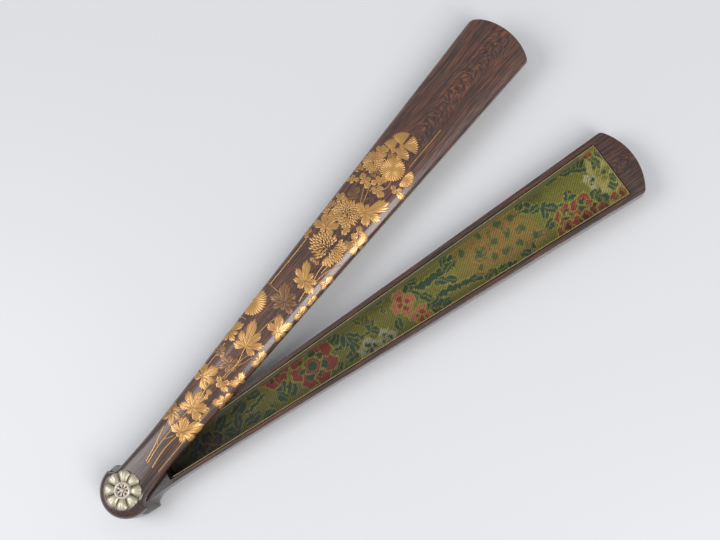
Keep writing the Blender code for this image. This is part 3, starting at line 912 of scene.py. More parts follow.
# Leaves on the lid: place of the stalk's end, then (angle, length, half width) of each lobe, and tone
LEAVES = [
    (39.0, -4.2, [(100, 6.4, 24), (25, 7.4, 26), (-30, 10.4, 22), (-80, 7.0, 24), (-140, 5.2, 24),
                  (165, 3.4, 26)], 0.10),
    (43.5, 6.8, [(-140, 7.6, 22), (-95, 6.4, 20), (-50, 5.0, 22), (170, 6.5, 22), (100, 3.0, 30),
                  (20, 4.0, 30)], 0.42),
    (50.8, -0.6, [(115, 7.2, 24), (58, 8.6, 24), (12, 9.4, 20), (-50, 7.6, 24), (-108, 6.8, 22),
                  (170, 3.6, 26)], 0.12),
    (60.0, -2.0, [(8, 3.2, 34), (-160, 2.4, 34)], 0.15),
    (65.2, 5.8, [(-25, 8.8, 22), (35, 6.6, 26), (-80, 6.8, 24), (-125, 6.6, 24), (125, 5.0, 26)], 0.05),
    (62.5, -9.9, [(-10, 5.6, 26), (140, 5.2, 26), (-160, 4.4, 30), (60, 3.4, 30)], 0.0),
    (69.0, -3.6, [(75, 3.6, 30), (-60, 4.0, 30), (-110, 5.2, 26), (170, 3.2, 32)], 0.10),
    (74.8, -9.5, [(20, 4.6, 28), (150, 4.8, 28), (80, 2.8, 30), (-60, 3.0, 30)], 0.0),
    (78.2, -0.6, [(150, 5.6, 26), (95, 5.4, 26), (35, 4.4, 26), (-50, 6.0, 26), (-100, 4.8, 26),
                  (-160, 4.6, 26)], 0.75),
    (79.6, 7.4, [(120, 4.6, 28), (60, 4.0, 28), (-20, 3.6, 28), (-100, 4.2, 28), (180, 2.8, 30)], 0.6),
    (89.0, 10.2, [(-100, 5.4, 22), (-55, 5.2, 22), (-25, 8.6, 18), (180, 4.8, 24), (150, 3.2, 28)], 0.05),
    (89.4, -1.6, [(112, 6.4, 24), (58, 8.4, 22), (22, 13.6, 14), (-8, 9.6, 16), (-48, 8.4, 20),
                  (-95, 5.6, 22)], 0.05),
    (88.4, -10.7, [(15, 5.2, 28), (160, 4.6, 28), (90, 2.6, 32), (-60, 2.6, 30)], 0.0),
    (104.4, -8.7, [(88, 5.8, 26), (28, 7.8, 24), (-20, 8.0, 22), (-70, 4.2, 28), (-150, 4.6, 28),
                  (160, 3.0, 30)], 0.05),
    (117.4, -2.4, [(152, 6.2, 22), (105, 8.0, 20), (40, 9.8, 18), (-12, 6.6, 22), (-60, 5.8, 24),
                  (-112, 6.4, 24), (-160, 4.0, 24)], 0.8),
    (118.0, -11.7, [(12, 4.6, 28), (165, 4.2, 28), (90, 2.2, 34), (-90, 2.0, 34)], 0.0),
    (126.0, -11.9, [(10, 3.6, 28), (170, 3.0, 30), (80, 2.4, 34)], 0.0),
    (131.2, -3.6, [(118, 5.8, 22), (75, 7.8, 20), (36, 10.2, 20), (-5, 5.4, 22), (-58, 5.6, 24),
                  (-108, 6.8, 24), (168, 4.6, 24)], 0.05),
    (136.5, -11.7, [(0, 5.0, 24), (120, 3.2, 28), (180, 3.4, 30)], 0.0),
    (150.0, 11.6, [(130, 3.4, 28), (60, 3.6, 28), (-10, 2.6, 30), (-160, 3.0, 30)], 0.2),
    (157.6, 5.6, [(102, 7.8, 22), (55, 7.2, 22), (8, 7.4, 24), (-45, 6.4, 24), (-100, 5.0, 24),
                  (160, 3.6, 26)], 0.08),
    (163.0, -3.0, [(15, 2.8, 34), (180, 3.4, 32), (95, 2.0, 34), (-85, 2.0, 34)], 0.05),
    (160.0, -11.9, [(8, 7.4, 24), (170, 5.4, 26), (50, 4.4, 28), (120, 3.2, 28), (-60, 3.0, 30)], 0.0),
    (165.0, -8.3, [(20, 3.6, 32), (175, 4.0, 30), (-60, 3.2, 30)], 0.05),
    (172.8, 9.6, [(75, 3.4, 30), (15, 3.4, 30), (-60, 3.4, 30), (175, 2.6, 32)], 0.1),
    (176.2, 5.6, [(0, 6.8, 24), (45, 3.6, 28), (-42, 3.8, 28), (180, 2.6, 32)], 0.8),
    (174.6, -4.6, [(72, 5.8, 26), (15, 4.4, 24), (-28, 12.2, 18), (-78, 8.4, 22), (-132, 6.6, 22),
                  (150, 3.4, 28)], 0.0),
    (184.0, 10.6, [(125, 4.6, 28), (60, 2.8, 30), (-60, 2.8, 30), (170, 2.6, 30)], 0.1),
    (186.6, 5.6, [(62, 4.4, 26), (-110, 4.6, 26), (-30, 3.2, 28), (150, 2.6, 30)], 0.1),
    (186.4, -1.8, [(-92, 5.0, 26), (-35, 3.6, 28), (100, 2.6, 30), (180, 2.4, 32)], 0.0),
    (190.4, 0.4, [(-40, 5.2, 26), (40, 2.8, 30), (150, 3.6, 28), (-100, 2.6, 30)], 0.0),
    (190.0, 12.4, [(45, 3.0, 30), (-60, 2.8, 30), (160, 2.8, 30)], 0.3),
    (193.6, 3.8, [(15, 3.8, 28), (165, 3.6, 28), (80, 2.2, 32), (-80, 2.0, 32)], 0.7),
    (192.0, -9.5, [(-95, 5.2, 26), (-40, 3.0, 30), (80, 3.2, 30), (160, 2.2, 32)], 0.05),
    (202.6, 8.6, [(70, 4.0, 28), (25, 3.8, 26), (-30, 4.2, 28), (-95, 3.6, 28), (180, 2.4, 32)], 0.1),
    (203.6, 2.8, [(75, 2.6, 30), (-20, 2.4, 32), (-110, 3.0, 30), (160, 2.2, 32)], 0.5),
    (205.2, 7.6, [(80, 2.2, 30), (-30, 1.8, 34), (-120, 2.0, 32)], 0.1),
    (141.4, -0.8, [(85, 2.8, 26), (-85, 2.6, 26), (10, 1.0, 40)], 0.25),
]

# Side-view flowers: centre, first and last angle, reach, teeth, tone, back share, oval and its axis
PLATES = [
    (108.0, 11.0, 175, 365, 7.4, 17, 0.05, 0.22, 1.0, 0.0),
    (199.2, -1.6, 0, 360, 6.1, 30, 0.0, 1.0, 1.0, 0.0),
    (199.4, -8.4, 180, 360, 4.9, 14, 0.05, 0.10, 1.0, 0.0),
    (206.4, 4.2, 8, 92, 6.4, 8, 0.2, 0.2, 1.0, 0.0),
    (205.6, -0.2, -80, 72, 4.9, 9, 0.2, 0.3, 1.05, 90.0),
    (210.6, 2.3, 2, 84, 7.4, 9, 0.18, 0.16, 1.0, 0.0),
    (210.6, 1.7, -86, -2, 7.6, 9, 0.18, 0.16, 1.0, 0.0),
    (158.0, -7.0, 180, 330, 3.8, 9, 0.55, 0.3, 1.0, 0.0),
]

# Chrysanthemums: heart, petals, radius, upper and lower stretch, slit, inner and outer size, lift
BLOOMS = [
    (150.2, -2.6, 96, 7.0, 1.50, 0.72, 1.6, 0.55, 1.05, 0.45),
    (169.2, 2.0, 84, 6.4, 0.95, 1.00, 0.0, 0.50, 0.90, 0.45),
    (165.8, 9.6, 40, 4.6, 0.85, 0.25, 0.6, 0.50, 0.80, 0.35),
    (196.6, 8.6, 84, 5.0, 1.00, 1.05, 0.0, 0.50, 0.85, 0.30),
]

# Stems and grass lines on the lid, with their half width
LINES = [
    (0.36, [(17.6, 0.4), (22.0, 1.2), (27.0, 2.2), (31.0, 3.6), (35.4, 4.8)]),
    (0.34, [(17.4, -0.8), (20.0, -0.4), (24.0, 0.4), (29.0, 0.7), (36.4, 0.7)]),
    (0.31, [(27.0, 1.0), (28.2, 2.4)]),
    (0.31, [(30.4, 0.7), (32.6, -0.7), (35.4, -2.2)]),
    (0.36, [(17.4, -4.0), (21.0, -3.4), (26.0, -2.6), (31.0, -2.8), (35.6, -3.4)]),
    (0.21, [(17.6, -7.4), (36.0, -7.4), (56.0, -7.3)]),
    (0.28, [(40.5, 0.6), (44.0, 0.6), (50.0, 0.0)]),
    (0.28, [(41.0, -5.0), (45.0, -5.6), (50.0, -6.4), (56.0, -7.2)]),
    (0.31, [(51.0, -0.8), (56.0, -0.4), (60.0, 0.2), (65.0, 1.0), (70.0, -1.6)]),
    (0.28, [(68.0, -2.4), (74.0, -2.6), (81.0, -3.4), (88.0, -5.2)]),
    (0.28, [(71.0, -3.4), (77.0, -4.0), (83.0, -3.6), (87.0, -1.8), (90.0, -1.4)]),
    (0.25, [(80.0, -4.6), (84.0, -6.2), (88.0, -7.2)]),
    (0.20, [(66.0, 7.5), (78.0, 7.8), (84.0, 8.0)]),
    (0.28, [(97.0, 11.6), (98.6, 10.4), (99.4, 8.6), (99.0, 7.0)]),
    (0.22, [(96.0, -2.0), (104.0, -2.6), (112.0, -4.6)]),
    (0.22, [(119.3, 3.2), (119.3, 13.4)]),
    (0.22, [(119.3, 9.6), (133.0, 9.7), (147.2, 9.9)]),
    (0.28, [(122.0, -7.4), (126.0, -6.8), (129.5, -6.4)]),
    (0.28, [(133.0, -6.8), (138.0, -5.6), (143.0, -5.2)]),
    (0.28, [(134.0, -7.6), (139.0, -7.6), (144.0, -9.4), (148.0, -11.6)]),
    (0.28, [(139.0, -7.0), (146.0, -7.4), (150.0, -10.4)]),
    (0.28, [(172.0, -1.6), (178.0, -1.2), (182.0, 0.4), (186.0, 2.0)]),
    (0.28, [(176.0, -0.4), (180.0, 1.8), (184.0, 3.8)]),
    (0.25, [(184.0, 0.4), (188.0, -0.4), (192.0, -3.2), (196.0, -3.6)]),
    (0.25, [(188.6, -4.4), (191.0, -5.4), (194.0, -4.8)]),
    (0.25, [(193.0, 1.2), (196.0, 3.6), (199.0, 4.0)]),
    (0.25, [(203.0, 1.6), (206.0, 4.6), (207.0, 8.0)]),
    (0.21, [(204.8, -7.3), (216.0, -7.4), (228.0, -7.5)]),
]


def path_curve(name, points):
    """Smooth curve through many points, or straight pieces through two or three."""
    curve = bpy.data.curves.new(name, "CURVE")
    curve.dimensions = "3D"
    spline = curve.splines.new("NURBS" if len(points) > 3 else "POLY")
    spline.points.add(len(points) - 1)
    for point, place in zip(spline.points, points):
        point.co = (*place, 1.0)
    spline.use_endpoint_u = True
    spline.order_u = 4
    spline.resolution_u = 8
    return new_object(name, curve)


def relief_object(name, parts):
    """One mesh of flat reliefs laid on the lid, with their tones as an attribute."""
    points = np.vstack([part[0] for part in parts])
    tones = np.concatenate([part[2] for part in parts])
    faces, first = [], 0
    for part in parts:
        faces += [tuple(first + v for v in face) for face in part[1]]
        first += len(part[0])
    thing = new_object(name, new_mesh(name, to_world(lay_on_lid(points), True), faces))
    store(thing.data, "tone", "FLOAT", tones)
    return thing


def taken_apart(thing):
    """Points and faces of a flat mesh object, which is removed."""
    mesh = thing.data
    points = np.empty(len(mesh.vertices) * 3)
    mesh.vertices.foreach_get("co", points)
    faces = [tuple(p.vertices) for p in mesh.polygons]
    drop(thing)
    return points.reshape(-1, 3), faces


def ride_as(thing, body, material, replaced=(), sharp=60.0):
    """Paint and shade a finished piece and hand it to its body in the frame."""
    paint(thing, material)
    thing.data.shade_smooth()
    thing.data.set_sharp_from_angle(angle=math.radians(sharp))
    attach(thing, body)
    if replaced:
        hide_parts(*replaced)
    return thing


# ---------------------------------------------------------------- woven pattern

GROUND = (0.195, 0.200, 0.024)
GROUND_OCHRE = (0.265, 0.215, 0.035)
OUTLINE = (0.33, 0.33, 0.05)
LEAF_GREEN = (0.032, 0.080, 0.034)
LEAF_BLUE = (0.034, 0.082, 0.052)
OLIVE = (0.100, 0.120, 0.030)
RED = (0.300, 0.045, 0.028)
RED_DARK = (0.130, 0.018, 0.015)
CORAL = (0.520, 0.170, 0.095)
ORANGE = (0.400, 0.175, 0.045)
WHITE = (0.420, 0.440, 0.330)
PLUM = (0.045, 0.018, 0.025)
PALE_RAMP = (0.44, 0.43, 0.15)
WEAVE_TINT = (0.92, 0.84, 0.76)

# Peonies: centre, lobes as (dx, dy, radius), petal colour, inner colour
PEONIES = [
    (44.0, -2.5, [(-4, 1, 3.4), (0, -3, 3.2), (3.5, 1.5, 3.4), (-0.5, 4, 3.0)], PLUM, RED_DARK),
    (87.0, 10.5, [(-5, -1, 3.2), (-1.5, -4, 3.6), (3, -3, 3.6), (7, 0, 3.2)], RED, RED_DARK),
    (105.5, 2.5, [(-7.5, 0, 3.6), (-4, -5.5, 4.0), (2.5, -7.5, 3.6), (8.5, -3, 4.0),
                  (9.5, 3.6, 3.6), (4.5, 7.5, 3.6), (-5.5, 6.5, 3.6), (0.5, 0, 4.2)], RED, LEAF_GREEN),
    (134.6, -6.0, [(-3.6, 0.5, 2.8), (0, 2.4, 2.8), (3.4, 0, 2.8), (-0.5, -2.6, 2.6)], WHITE, LEAF_BLUE),
    (143.4, -6.4, [(-2.4, 0, 2.5), (0.4, 2.6, 2.5), (2.8, -0.4, 2.6)], WHITE, LEAF_BLUE),
    (159.6, 3.0, [(-3.6, 0, 3.0), (-0.8, 4.2, 3.0), (2.6, 0.6, 3.0), (-0.5, -3.4, 2.8)], CORAL, RED),
    (163.4, -6.4, [(-2.6, 1.2, 2.6), (1.6, 2.4, 2.6), (2.2, -2.2, 2.6), (-1.2, -2.4, 2.4)], CORAL, RED),
    (246.5, -4.6, [(-2.6, 0.6, 3.0), (1.4, 1.8, 3.0), (2.2, -2.0, 2.8), (-1.8, -2.6, 2.8)], RED, LEAF_GREEN),
    (255.2, -4.6, [(-2.2, 1.2, 3.0), (2.0, 1.8, 3.0), (2.6, -2.2, 2.8), (-1.4, -2.6, 2.8)], RED, LEAF_GREEN),
    (242.6, -10.4, [(-1.6, 0, 2.8), (2.0, 0.6, 2.8)], RED, RED_DARK),
    (252.0, -10.6, [(-2.0, 0.2, 2.8), (2.2, 0.2, 2.8)], RED, RED_DARK),
    (260.6, -10.4, [(-1.2, 0.6, 2.6), (2.0, -0.8, 2.4)], RED_DARK, RED),
    (265.4, 2.6, [(-1.2, 1.6, 2.0), (0.8, -0.6, 2.2), (-0.8, -2.6, 1.8)], WHITE, LEAF_BLUE),
    (270.4, 14.0, [(0, 0, 2.4), (2.4, 1.0, 1.6)], RED, CORAL),
    (271.4, -11.0, [(-1.6, 0.4, 2.2), (1.4, -0.6, 2.2)], RED, RED_DARK),
    (271.0, 1.2, [(-1.6, 1.6, 1.5), (1.2, 0.4, 1.6), (-0.8, -1.8, 1.4)], GROUND, LEAF_BLUE),
]
OUTLINED_PEONY = (214.5, 1.0, [
    (-19, 7, 4.6), (-12, 2, 4.6), (-15, -4, 4.2), (-8, 10, 4.6), (-3, 3, 4.8), (3, 9.5, 4.6), (9.5, 8, 4.6),
    (12, 1, 4.6), (7, -4.5, 4.4), (-1, -4, 4.4), (-6.5, -3, 4.0), (4, 2, 4.0), (15, -5.5, 4.0)])
# Woven leaves: centre, direction in degrees, length, half width, colour
WOVEN_LEAVES = [
    (53, 4, 35, 9, 2.6, LEAF_GREEN), (56, -3, -30, 8, 2.4, LEAF_GREEN), (64, 5, 20, 10, 2.8, LEAF_GREEN),
    (68, -3, 0, 9, 2.4, LEAF_BLUE), (61, 0, 60, 8, 2.2, LEAF_GREEN), (74, 7, -10, 8, 2.4, LEAF_GREEN),
    (76, -5, 20, 7, 1.8, LEAF_GREEN), (88, 2, 80, 9, 3.0, LEAF_BLUE), (92, -1, 50, 8, 2.8, LEAF_GREEN),
    (86, -2, 130, 6, 2.2, LEAF_GREEN), (119, 9, -30, 7, 2.4, LEAF_GREEN), (122, 7, 40, 6, 2.0, LEAF_GREEN),
    (117, -5, 20, 6, 1.8, LEAF_GREEN), (126, 4, 60, 7, 2.6, LEAF_BLUE), (130, 3, -40, 7, 2.4, LEAF_GREEN),
    (126, -4, 10, 8, 2.4, LEAF_BLUE), (128, -1, 100, 6, 2.2, LEAF_GREEN), (140, 3, 60, 6, 2.6, LEAF_BLUE),
    (141, 0, 140, 5, 2.0, LEAF_GREEN), (136, 9, -50, 7, 2.2, OLIVE), (139, 7, 60, 6, 2.0, OLIVE),
    (152, -4, 80, 6, 2.0, LEAF_GREEN), (149, 6, 60, 3, 1.2, LEAF_GREEN), (150, 11, 10, 6, 1.6, LEAF_GREEN),
    (165, 8, 50, 8, 2.8, LEAF_GREEN), (168, 10, -20, 6, 2.0, LEAF_GREEN), (166, 4, -60, 6, 2.2, LEAF_BLUE),
    (170, 0, -60, 6, 2.0, LEAF_GREEN), (172, -6, 30, 9, 2.4, LEAF_GREEN), (170, -9, -10, 7, 2.0, LEAF_GREEN),
    (177, -8, 10, 6, 1.8, LEAF_GREEN), (186, 10, 60, 6, 2.2, LEAF_BLUE), (190, 8, -20, 6, 2.2, LEAF_GREEN),
    (187, 6, 10, 7, 2.0, LEAF_GREEN), (181, 2, -50, 5, 1.6, LEAF_GREEN), (185, 0, -40, 6, 2.0, LEAF_GREEN),
    (196, -6, -20, 6, 2.0, LEAF_GREEN), (201, -8, 20, 6, 1.8, LEAF_BLUE), (208, -9, 0, 6, 1.6, LEAF_GREEN),
    (203, 2, 80, 8, 3.2, LEAF_BLUE), (206, 3, 20, 6, 2.2, LEAF_BLUE), (201, 1, 150, 5, 2.0, LEAF_BLUE),
    (219, 6, 90, 6, 2.0, LEAF_BLUE), (224, 2, 20, 5, 1.8, LEAF_GREEN), (216, -3, 60, 4, 1.4, LEAF_GREEN),
    (211, 8, 60, 4, 1.4, LEAF_GREEN), (225, -7, 30, 7, 2.4, LEAF_GREEN), (221, -9, -20, 6, 2.0, LEAF_BLUE),
    (231, -5, -20, 6, 2.0, LEAF_GREEN), (233, 9, -50, 8, 2.6, LEAF_GREEN), (236, 6, 10, 6, 2.0, LEAF_GREEN),
    (231, 12, 40, 6, 2.0, LEAF_GREEN), (240, 3, 50, 8, 2.6, LEAF_GREEN), (243, 2, -50, 7, 2.2, LEAF_BLUE),
    (238, -4, 20, 6, 2.0, LEAF_GREEN), (252, 2, 60, 7, 2.4, LEAF_GREEN), (254, 0, -30, 6, 2.0, LEAF_GREEN),
    (250, -1, 150, 5, 1.8, LEAF_GREEN), (250, 14, 0, 7, 2.0, LEAF_GREEN), (258, 13, -20, 7, 2.2, LEAF_GREEN),
    (264, 11, -30, 7, 2.6, LEAF_GREEN), (266, 13, 60, 5, 2.0, LEAF_BLUE), (263, -4, 30, 7, 2.4, LEAF_GREEN),
    (265, -8, -60, 7, 2.4, LEAF_GREEN), (258, -8, 60, 4, 1.6, LEAF_GREEN), (272, 12, 40, 6, 1.8, LEAF_BLUE),
    (275, 9, -60, 7, 1.8, LEAF_BLUE), (271, 8, 110, 5, 1.6, LEAF_GREEN), (271, -6, -60, 5, 1.8, LEAF_GREEN),
    (276, -9, 80, 6, 1.4, LEAF_BLUE), (270, 5, 70, 5, 1.4, LEAF_GREEN), (273, -3, 110, 5, 1.3, LEAF_BLUE),
    (34, -2, 20, 8, 2.2, LEAF_GREEN), (30, 3, -20, 7, 2.0, LEAF_GREEN),
    (37, 3, 50, 6, 2.0, LEAF_BLUE), (80, -3, -50, 4, 1.4, OLIVE), (99, -8, 10, 5, 1.4, LEAF_GREEN),
]
# Woven branches: points and half width
BRANCHES = [
    (1.7, [(168, 6), (173, 5.4), (178, 6.0), (184, 6.2), (190, 8.4)]),
    (1.3, [(168, -4.6), (174, -3.4), (181, -3.2), (188, -4.4), (195, -6.0), (204, -8.4), (214, -10.4)]),
    (1.1, [(178, 2.6), (182, 1.2), (186, -1.6)]),
    (0.6, [(48, 1.0), (58, 1.5), (70, 1.5), (78, 4.0)]),
    (0.6, [(120, 3.0), (128, 0.5), (136, 1.0), (142, 1.6)]),
    (0.6, [(226, 9.0), (234, 8.0), (240, 4.0), (248, 0.8)]),
]


def near_path(x, y, path):
    """Distance from each point to a line of points."""
    best = np.full(x.shape, 1e9)
    for (ax, ay), (bx, by) in zip(path, path[1:]):
        dx, dy = bx - ax, by - ay
        share = np.clip(((x - ax) * dx + (y - ay) * dy) / (dx * dx + dy * dy), 0.0, 1.0)
        best = np.minimum(best, np.hypot(x - ax - share * dx, y - ay - share * dy))
    return best


def lay_color(colors, share, color):
    colors += (np.array(color) - colors) * np.clip(share, 0.0, 1.0)[:, None]


def leaf_distance(x, y, cx, cy, turn, length, half):
    """Below zero inside a pointed leaf with a few notches."""
    c, s = math.cos(math.radians(turn)), math.sin(math.radians(turn))
    along = ((x - cx) * c + (y - cy) * s) / (0.5 * length)
    across = np.abs(-(x - cx) * s + (y - cy) * c)
    notch = 0.82 + 0.18 * np.abs(np.cos(4.2 * along))
    width = half * np.sqrt(np.maximum(1.0 - np.abs(along) ** 2.2, 0.0)) * notch
    return np.where(np.abs(along) < 1.0, across - width, 1.0 + np.abs(along))


def waver(x, y, size, phase):
    """Smooth irregular wave, within 1, of about the given wavelength."""
    first = np.sin(5.1 * x / size + 1.9 * np.sin(3.3 * y / size + phase))
    return 0.5 * (first + np.sin(6.0 * y / size + 1.4 * np.sin(4.4 * x / size - phase)))


def woven_colors_with_painted_shade(x, y):
    """Colour of the brocade at flat places on the cloth, millimetres, with painted shade towards the hub and
    a painted shadow line at the ramp's foot.
    """
    colors = np.tile(np.array(GROUND), (len(x), 1))
    flat_x, flat_y = x, y
    x = x + 0.50 * waver(flat_x, flat_y, 5.0, 0.4) + 0.30 * waver(flat_x, flat_y, 1.9, 2.2)
    y = y + 0.50 * waver(flat_y, flat_x, 4.6, 1.1) + 0.30 * waver(flat_y, flat_x, 1.7, 0.3)
    patch = 0.5 + 0.5 * np.sin(x * 0.11 + 1.3 * np.sin(y * 0.21)) * np.cos(y * 0.24 + x * 0.043)
    lay_color(colors, 0.75 * smooth(0.55, 0.9, patch), OLIVE)
    ochre = smooth(14.0, 4.0, np.hypot((x - 190.0) * 0.7, y + 1.0))
    ochre = ochre + smooth(24.0, 12.0, np.hypot(x - 214.0, (y - 1.0) * 1.2))
    lay_color(colors, 0.7 * ochre, GROUND_OCHRE)
    lay_color(colors, smooth(RAMP_START + 0.41, RAMP_START + 1.21, flat_x) * 0.85, PALE_RAMP)
    # painted shadow line: darker olive along the ramp's foot, where it meets the floor
    lay_color(colors, 0.7 * smooth(0.9, 0.3, np.abs(flat_x - RAMP_START - 0.01)), OLIVE)
    for half, path in BRANCHES:
        wavy = half * (1.0 + 0.25 * np.sin(x * 1.7))
        away = near_path(x, y, path) - wavy
        lay_color(colors, smooth(0.75, 0.45, away), OUTLINE)
        lay_color(colors, smooth(0.2, -0.1, away), LEAF_GREEN)
    for cx, cy, turn, length, half, color in WOVEN_LEAVES:
        away = leaf_distance(x, y, cx, cy, turn, length, half)
        lay_color(colors, 0.85 * smooth(0.7, 0.4, away), OUTLINE)
        lay_color(colors, smooth(0.2, -0.1, away), color)
        c, s = math.cos(math.radians(turn)), math.sin(math.radians(turn))
        vein = np.abs(-(x - cx) * s + (y - cy) * c)
        lay_color(colors, 0.55 * smooth(0.42, 0.2, vein) * smooth(0.0, -0.3, away), OUTLINE)
    cx, cy, lobes = OUTLINED_PEONY
    away = [np.hypot(x - cx - dx, y - cy - dy) for dx, dy, _ in lobes]
    petals = np.min([far - r for far, (_, _, r) in zip(away, lobes)], axis=0)
    lay_color(colors, 0.4 * smooth(0.4, -0.2, petals), GROUND_OCHRE)
    for far, (_, _, r) in zip(away, lobes):
        lay_color(colors, 0.6 * smooth(0.6, 0.2, np.abs(far - r * 0.92)), ORANGE)
        lay_color(colors, 0.75 * smooth(0.3, -0.2, far - r * 0.34), LEAF_GREEN)
    for cx, cy, lobes, color, heart in PEONIES:
        for order, (dx, dy, r) in enumerate(lobes):
            from_x, from_y = x - cx - dx, y - cy - dy
            scallop = 1.0 + 0.10 * np.cos(5.0 * np.arctan2(from_y, from_x) + 1.7 * order + cx)
            away = np.hypot(from_x, from_y * 1.08) * scallop - r
            lay_color(colors, smooth(0.80, 0.55, away), OUTLINE)
            lay_color(colors, smooth(0.08, -0.12, away), color)
            from_heart = np.hypot(from_x + 0.35 * dx, from_y + 0.35 * dy) * scallop
            inner = from_heart - (0.42 + 0.14 * (order % 2)) * r
            lay_color(colors, 0.4 * smooth(0.42, 0.22, np.abs(inner - 0.12)), OUTLINE)
            lay_color(colors, smooth(0.0, -0.2, inner), heart)
    edge = hollow_half_width(np.clip(x, LINING_START, LINING_END)) - np.abs(y)
    lay_color(colors, 0.25 * smooth(1.5, 0.0, edge), OLIVE)
    # painted shade: the lining is darkened towards the hub, where the lid's shadow falls on it
    shade = (1.0 - 0.72 * smooth(92.0, 36.0, x)) * (1.0 - 0.30 * smooth(215.0, 110.0, x))
    return colors * WEAVE_TINT * shade[:, None]


# ---------------------------------------------------------------- settings

def color_setting(name, description, default):
    return FloatVectorProperty(name=name, description=description, subtype="COLOR", size=3,
                               min=0.0, max=1.0, default=default)


def share_setting(name, description, default):
    return FloatProperty(name=name, description=description, subtype="FACTOR", min=0.0, max=1.0,
                         default=default)


def length_setting(name, description, default, low, high):
    return FloatProperty(name=name, description=description, unit="LENGTH", subtype="DISTANCE",
                         min=low, max=high, default=default)


class FanCaseWood(bpy.types.PropertyGroup):
    dark: color_setting("Dark pores", "Colour of the wood's dark lines", (0.014, 0.009, 0.009))
    middle: color_setting("Wood", "Colour of the wood between its lines", (0.078, 0.029, 0.016))
    light: color_setting("Light figure", "Colour of the wood's light figure", (0.215, 0.086, 0.040))
    gloss: share_setting("Gloss", "Weight of the polished coat", 1.0)
    arches: share_setting("Arches", "Strength of the arched figure", 0.75)


class FanCaseGold(bpy.types.PropertyGroup):
    color: color_setting("Gold", "Colour of the bright gold", (0.68, 0.365, 0.105))
    aged: color_setting("Brown gold", "Colour of the darker leaves", (0.20, 0.095, 0.048))
    height: length_setting("Relief", "Height of the raised leaves", 0.00022, 0.0001, 0.0006)


class FanCaseCloth(bpy.types.PropertyGroup):
    cell: length_setting("Mesh cell", "Size of the lining's mesh cells", 0.00034, 0.0002, 0.002)
    pitch: length_setting("Rib pitch", "Distance between two ribs", 0.00105, 0.0005, 0.003)
    lean: FloatProperty(name="Rib lean", description="Angle of the ribs to the case", unit="ROTATION",
                        subtype="ANGLE", default=math.radians(48.0))
    height: length_setting("Rib height", "How far the ribs stand up", 0.00005, 0.0, 0.0002)


class FanCaseRosette(bpy.types.PropertyGroup):
    petals: IntProperty(name="Petals", description="Petals of the silver flower", min=5, max=12, default=8)
    silver: color_setting("Silver", "Colour of the petals", (0.64, 0.60, 0.46))


class FanCaseStage(bpy.types.PropertyGroup):
    floor_color: color_setting("Floor", "Colour of the floor", (0.78, 0.785, 0.80))
    lens: FloatProperty(name="Lens", description="Focal length in millimetres", min=20.0, max=200.0,
                        default=50.0)


class StepOperator:
    bl_options = {"REGISTER", "UNDO"}


# ---------------------------------------------------------------- operators

CAMERA_PLACE = (0.0418, -0.0988, 0.4722)
CAMERA_TARGET = (0.0137, 0.0301, 0.0)
CAMERA_UP = (0.5550, 0.8103, 0.1882)
FLOOR_REACH, FLOOR_GAP = 3.0, 0.0002
WORLD_COLOR, WORLD_STRENGTH = (0.93, 0.95, 1.0, 1.0), 0.47
# Lights: name, place, aim, size, power, colour
LIGHTS = [
    ("key", (0.225, -0.79, 0.98), (-0.03, 0.03, 0.0), (0.4, 0.9), 7.6, (1.0, 0.99, 0.975)),
    ("left", (-0.95, 0.45, 1.15), (0.0, 0.0, 0.0), (1.0, 0.9), 9.0, (1.0, 1.0, 1.0)),
]


def add_area(name, place, target, size, power, color):
    """Soft rectangular light aimed at a place."""
    light = bpy.data.lights.new(name, "AREA")
    light.shape = "RECTANGLE"
    light.size, light.size_y = size
    light.energy = power
    light.color = color
    thing = bpy.data.objects.new(name, light)
    thing.location = place
    aim = Vector(target) - Vector(place)
    thing.rotation_euler = aim.to_track_quat("-Z", "Y").to_euler()
    bpy.context.scene.collection.objects.link(thing)


class FANCASE_OT_stage(StepOperator, bpy.types.Operator):
    """Floor, soft light and camera"""
    bl_idname = "fan_case.stage"
    bl_label = "Stage"

    def execute(self, context):
        settings = context.scene.fan_case_stage
        corners = [(x * FLOOR_REACH, y * FLOOR_REACH, 0.0) for x, y in ((-1, -1), (1, -1), (1, 1), (-1, 1))]
        floor = new_object("floor", new_mesh("floor", corners, [(0, 1, 2, 3)]))
        floor.location.z = -FLOOR_GAP
        paint(floor, floor_material(settings))
        world = bpy.data.worlds.new("soft_studio")
        world.use_nodes = True
        back = world.node_tree.nodes["Background"]
        back.inputs[0].default_value = WORLD_COLOR
        back.inputs[1].default_value = WORLD_STRENGTH
        context.scene.world = world
        for light in LIGHTS:
            add_area(*light)
        camera = bpy.data.cameras.new("camera")
        camera.lens = settings.lens
        camera.sensor_width = 36.0
        camera.clip_start = 0.01
        thing = bpy.data.objects.new("camera", camera)
        context.scene.collection.objects.link(thing)
        look = (Vector(CAMERA_TARGET) - Vector(CAMERA_PLACE)).normalized()
        right = look.cross(Vector(CAMERA_UP)).normalized()
        up = right.cross(look)
        turn = Matrix((right, up, -look)).transposed().to_4x4()
        thing.matrix_world = Matrix.Translation(CAMERA_PLACE) @ turn
        context.scene.camera = thing
        context.scene.view_settings.view_transform = "Standard"
        return {"FINISHED"}


def hollow_rings(levels, corner):
    """Outline of the tray's hollow at each (height, growth) level, with rounded corners."""
    rings = []
    for z, grow in levels:
        row = []
        for x, sx in ((HOLLOW_START, -1.0), (HOLLOW_END, 1.0)):
            order = (-1.0, 1.0) if sx > 0 else (1.0, -1.0)
            for side in order:
                y = side * hollow_half_width(x)
                cx, cy = x - sx * corner, y - side * corner
                start = math.atan2(0.0, sx) if side * sx > 0 else math.atan2(side, 0.0)
                radius = corner + grow
                for step in range(7):
                    turn = start + 0.5 * math.pi * step / 6.0
                    row.append((cx + radius * math.cos(turn), cy + radius * math.sin(turn), z))
        rings.append(np.array(row))
    return rings


def drill(name, radius, low, high, on_lid):
    """Round cutter about the rivet's axis."""
    return block(name, [disc_ring(radius, low), disc_ring(radius, high)], on_lid)


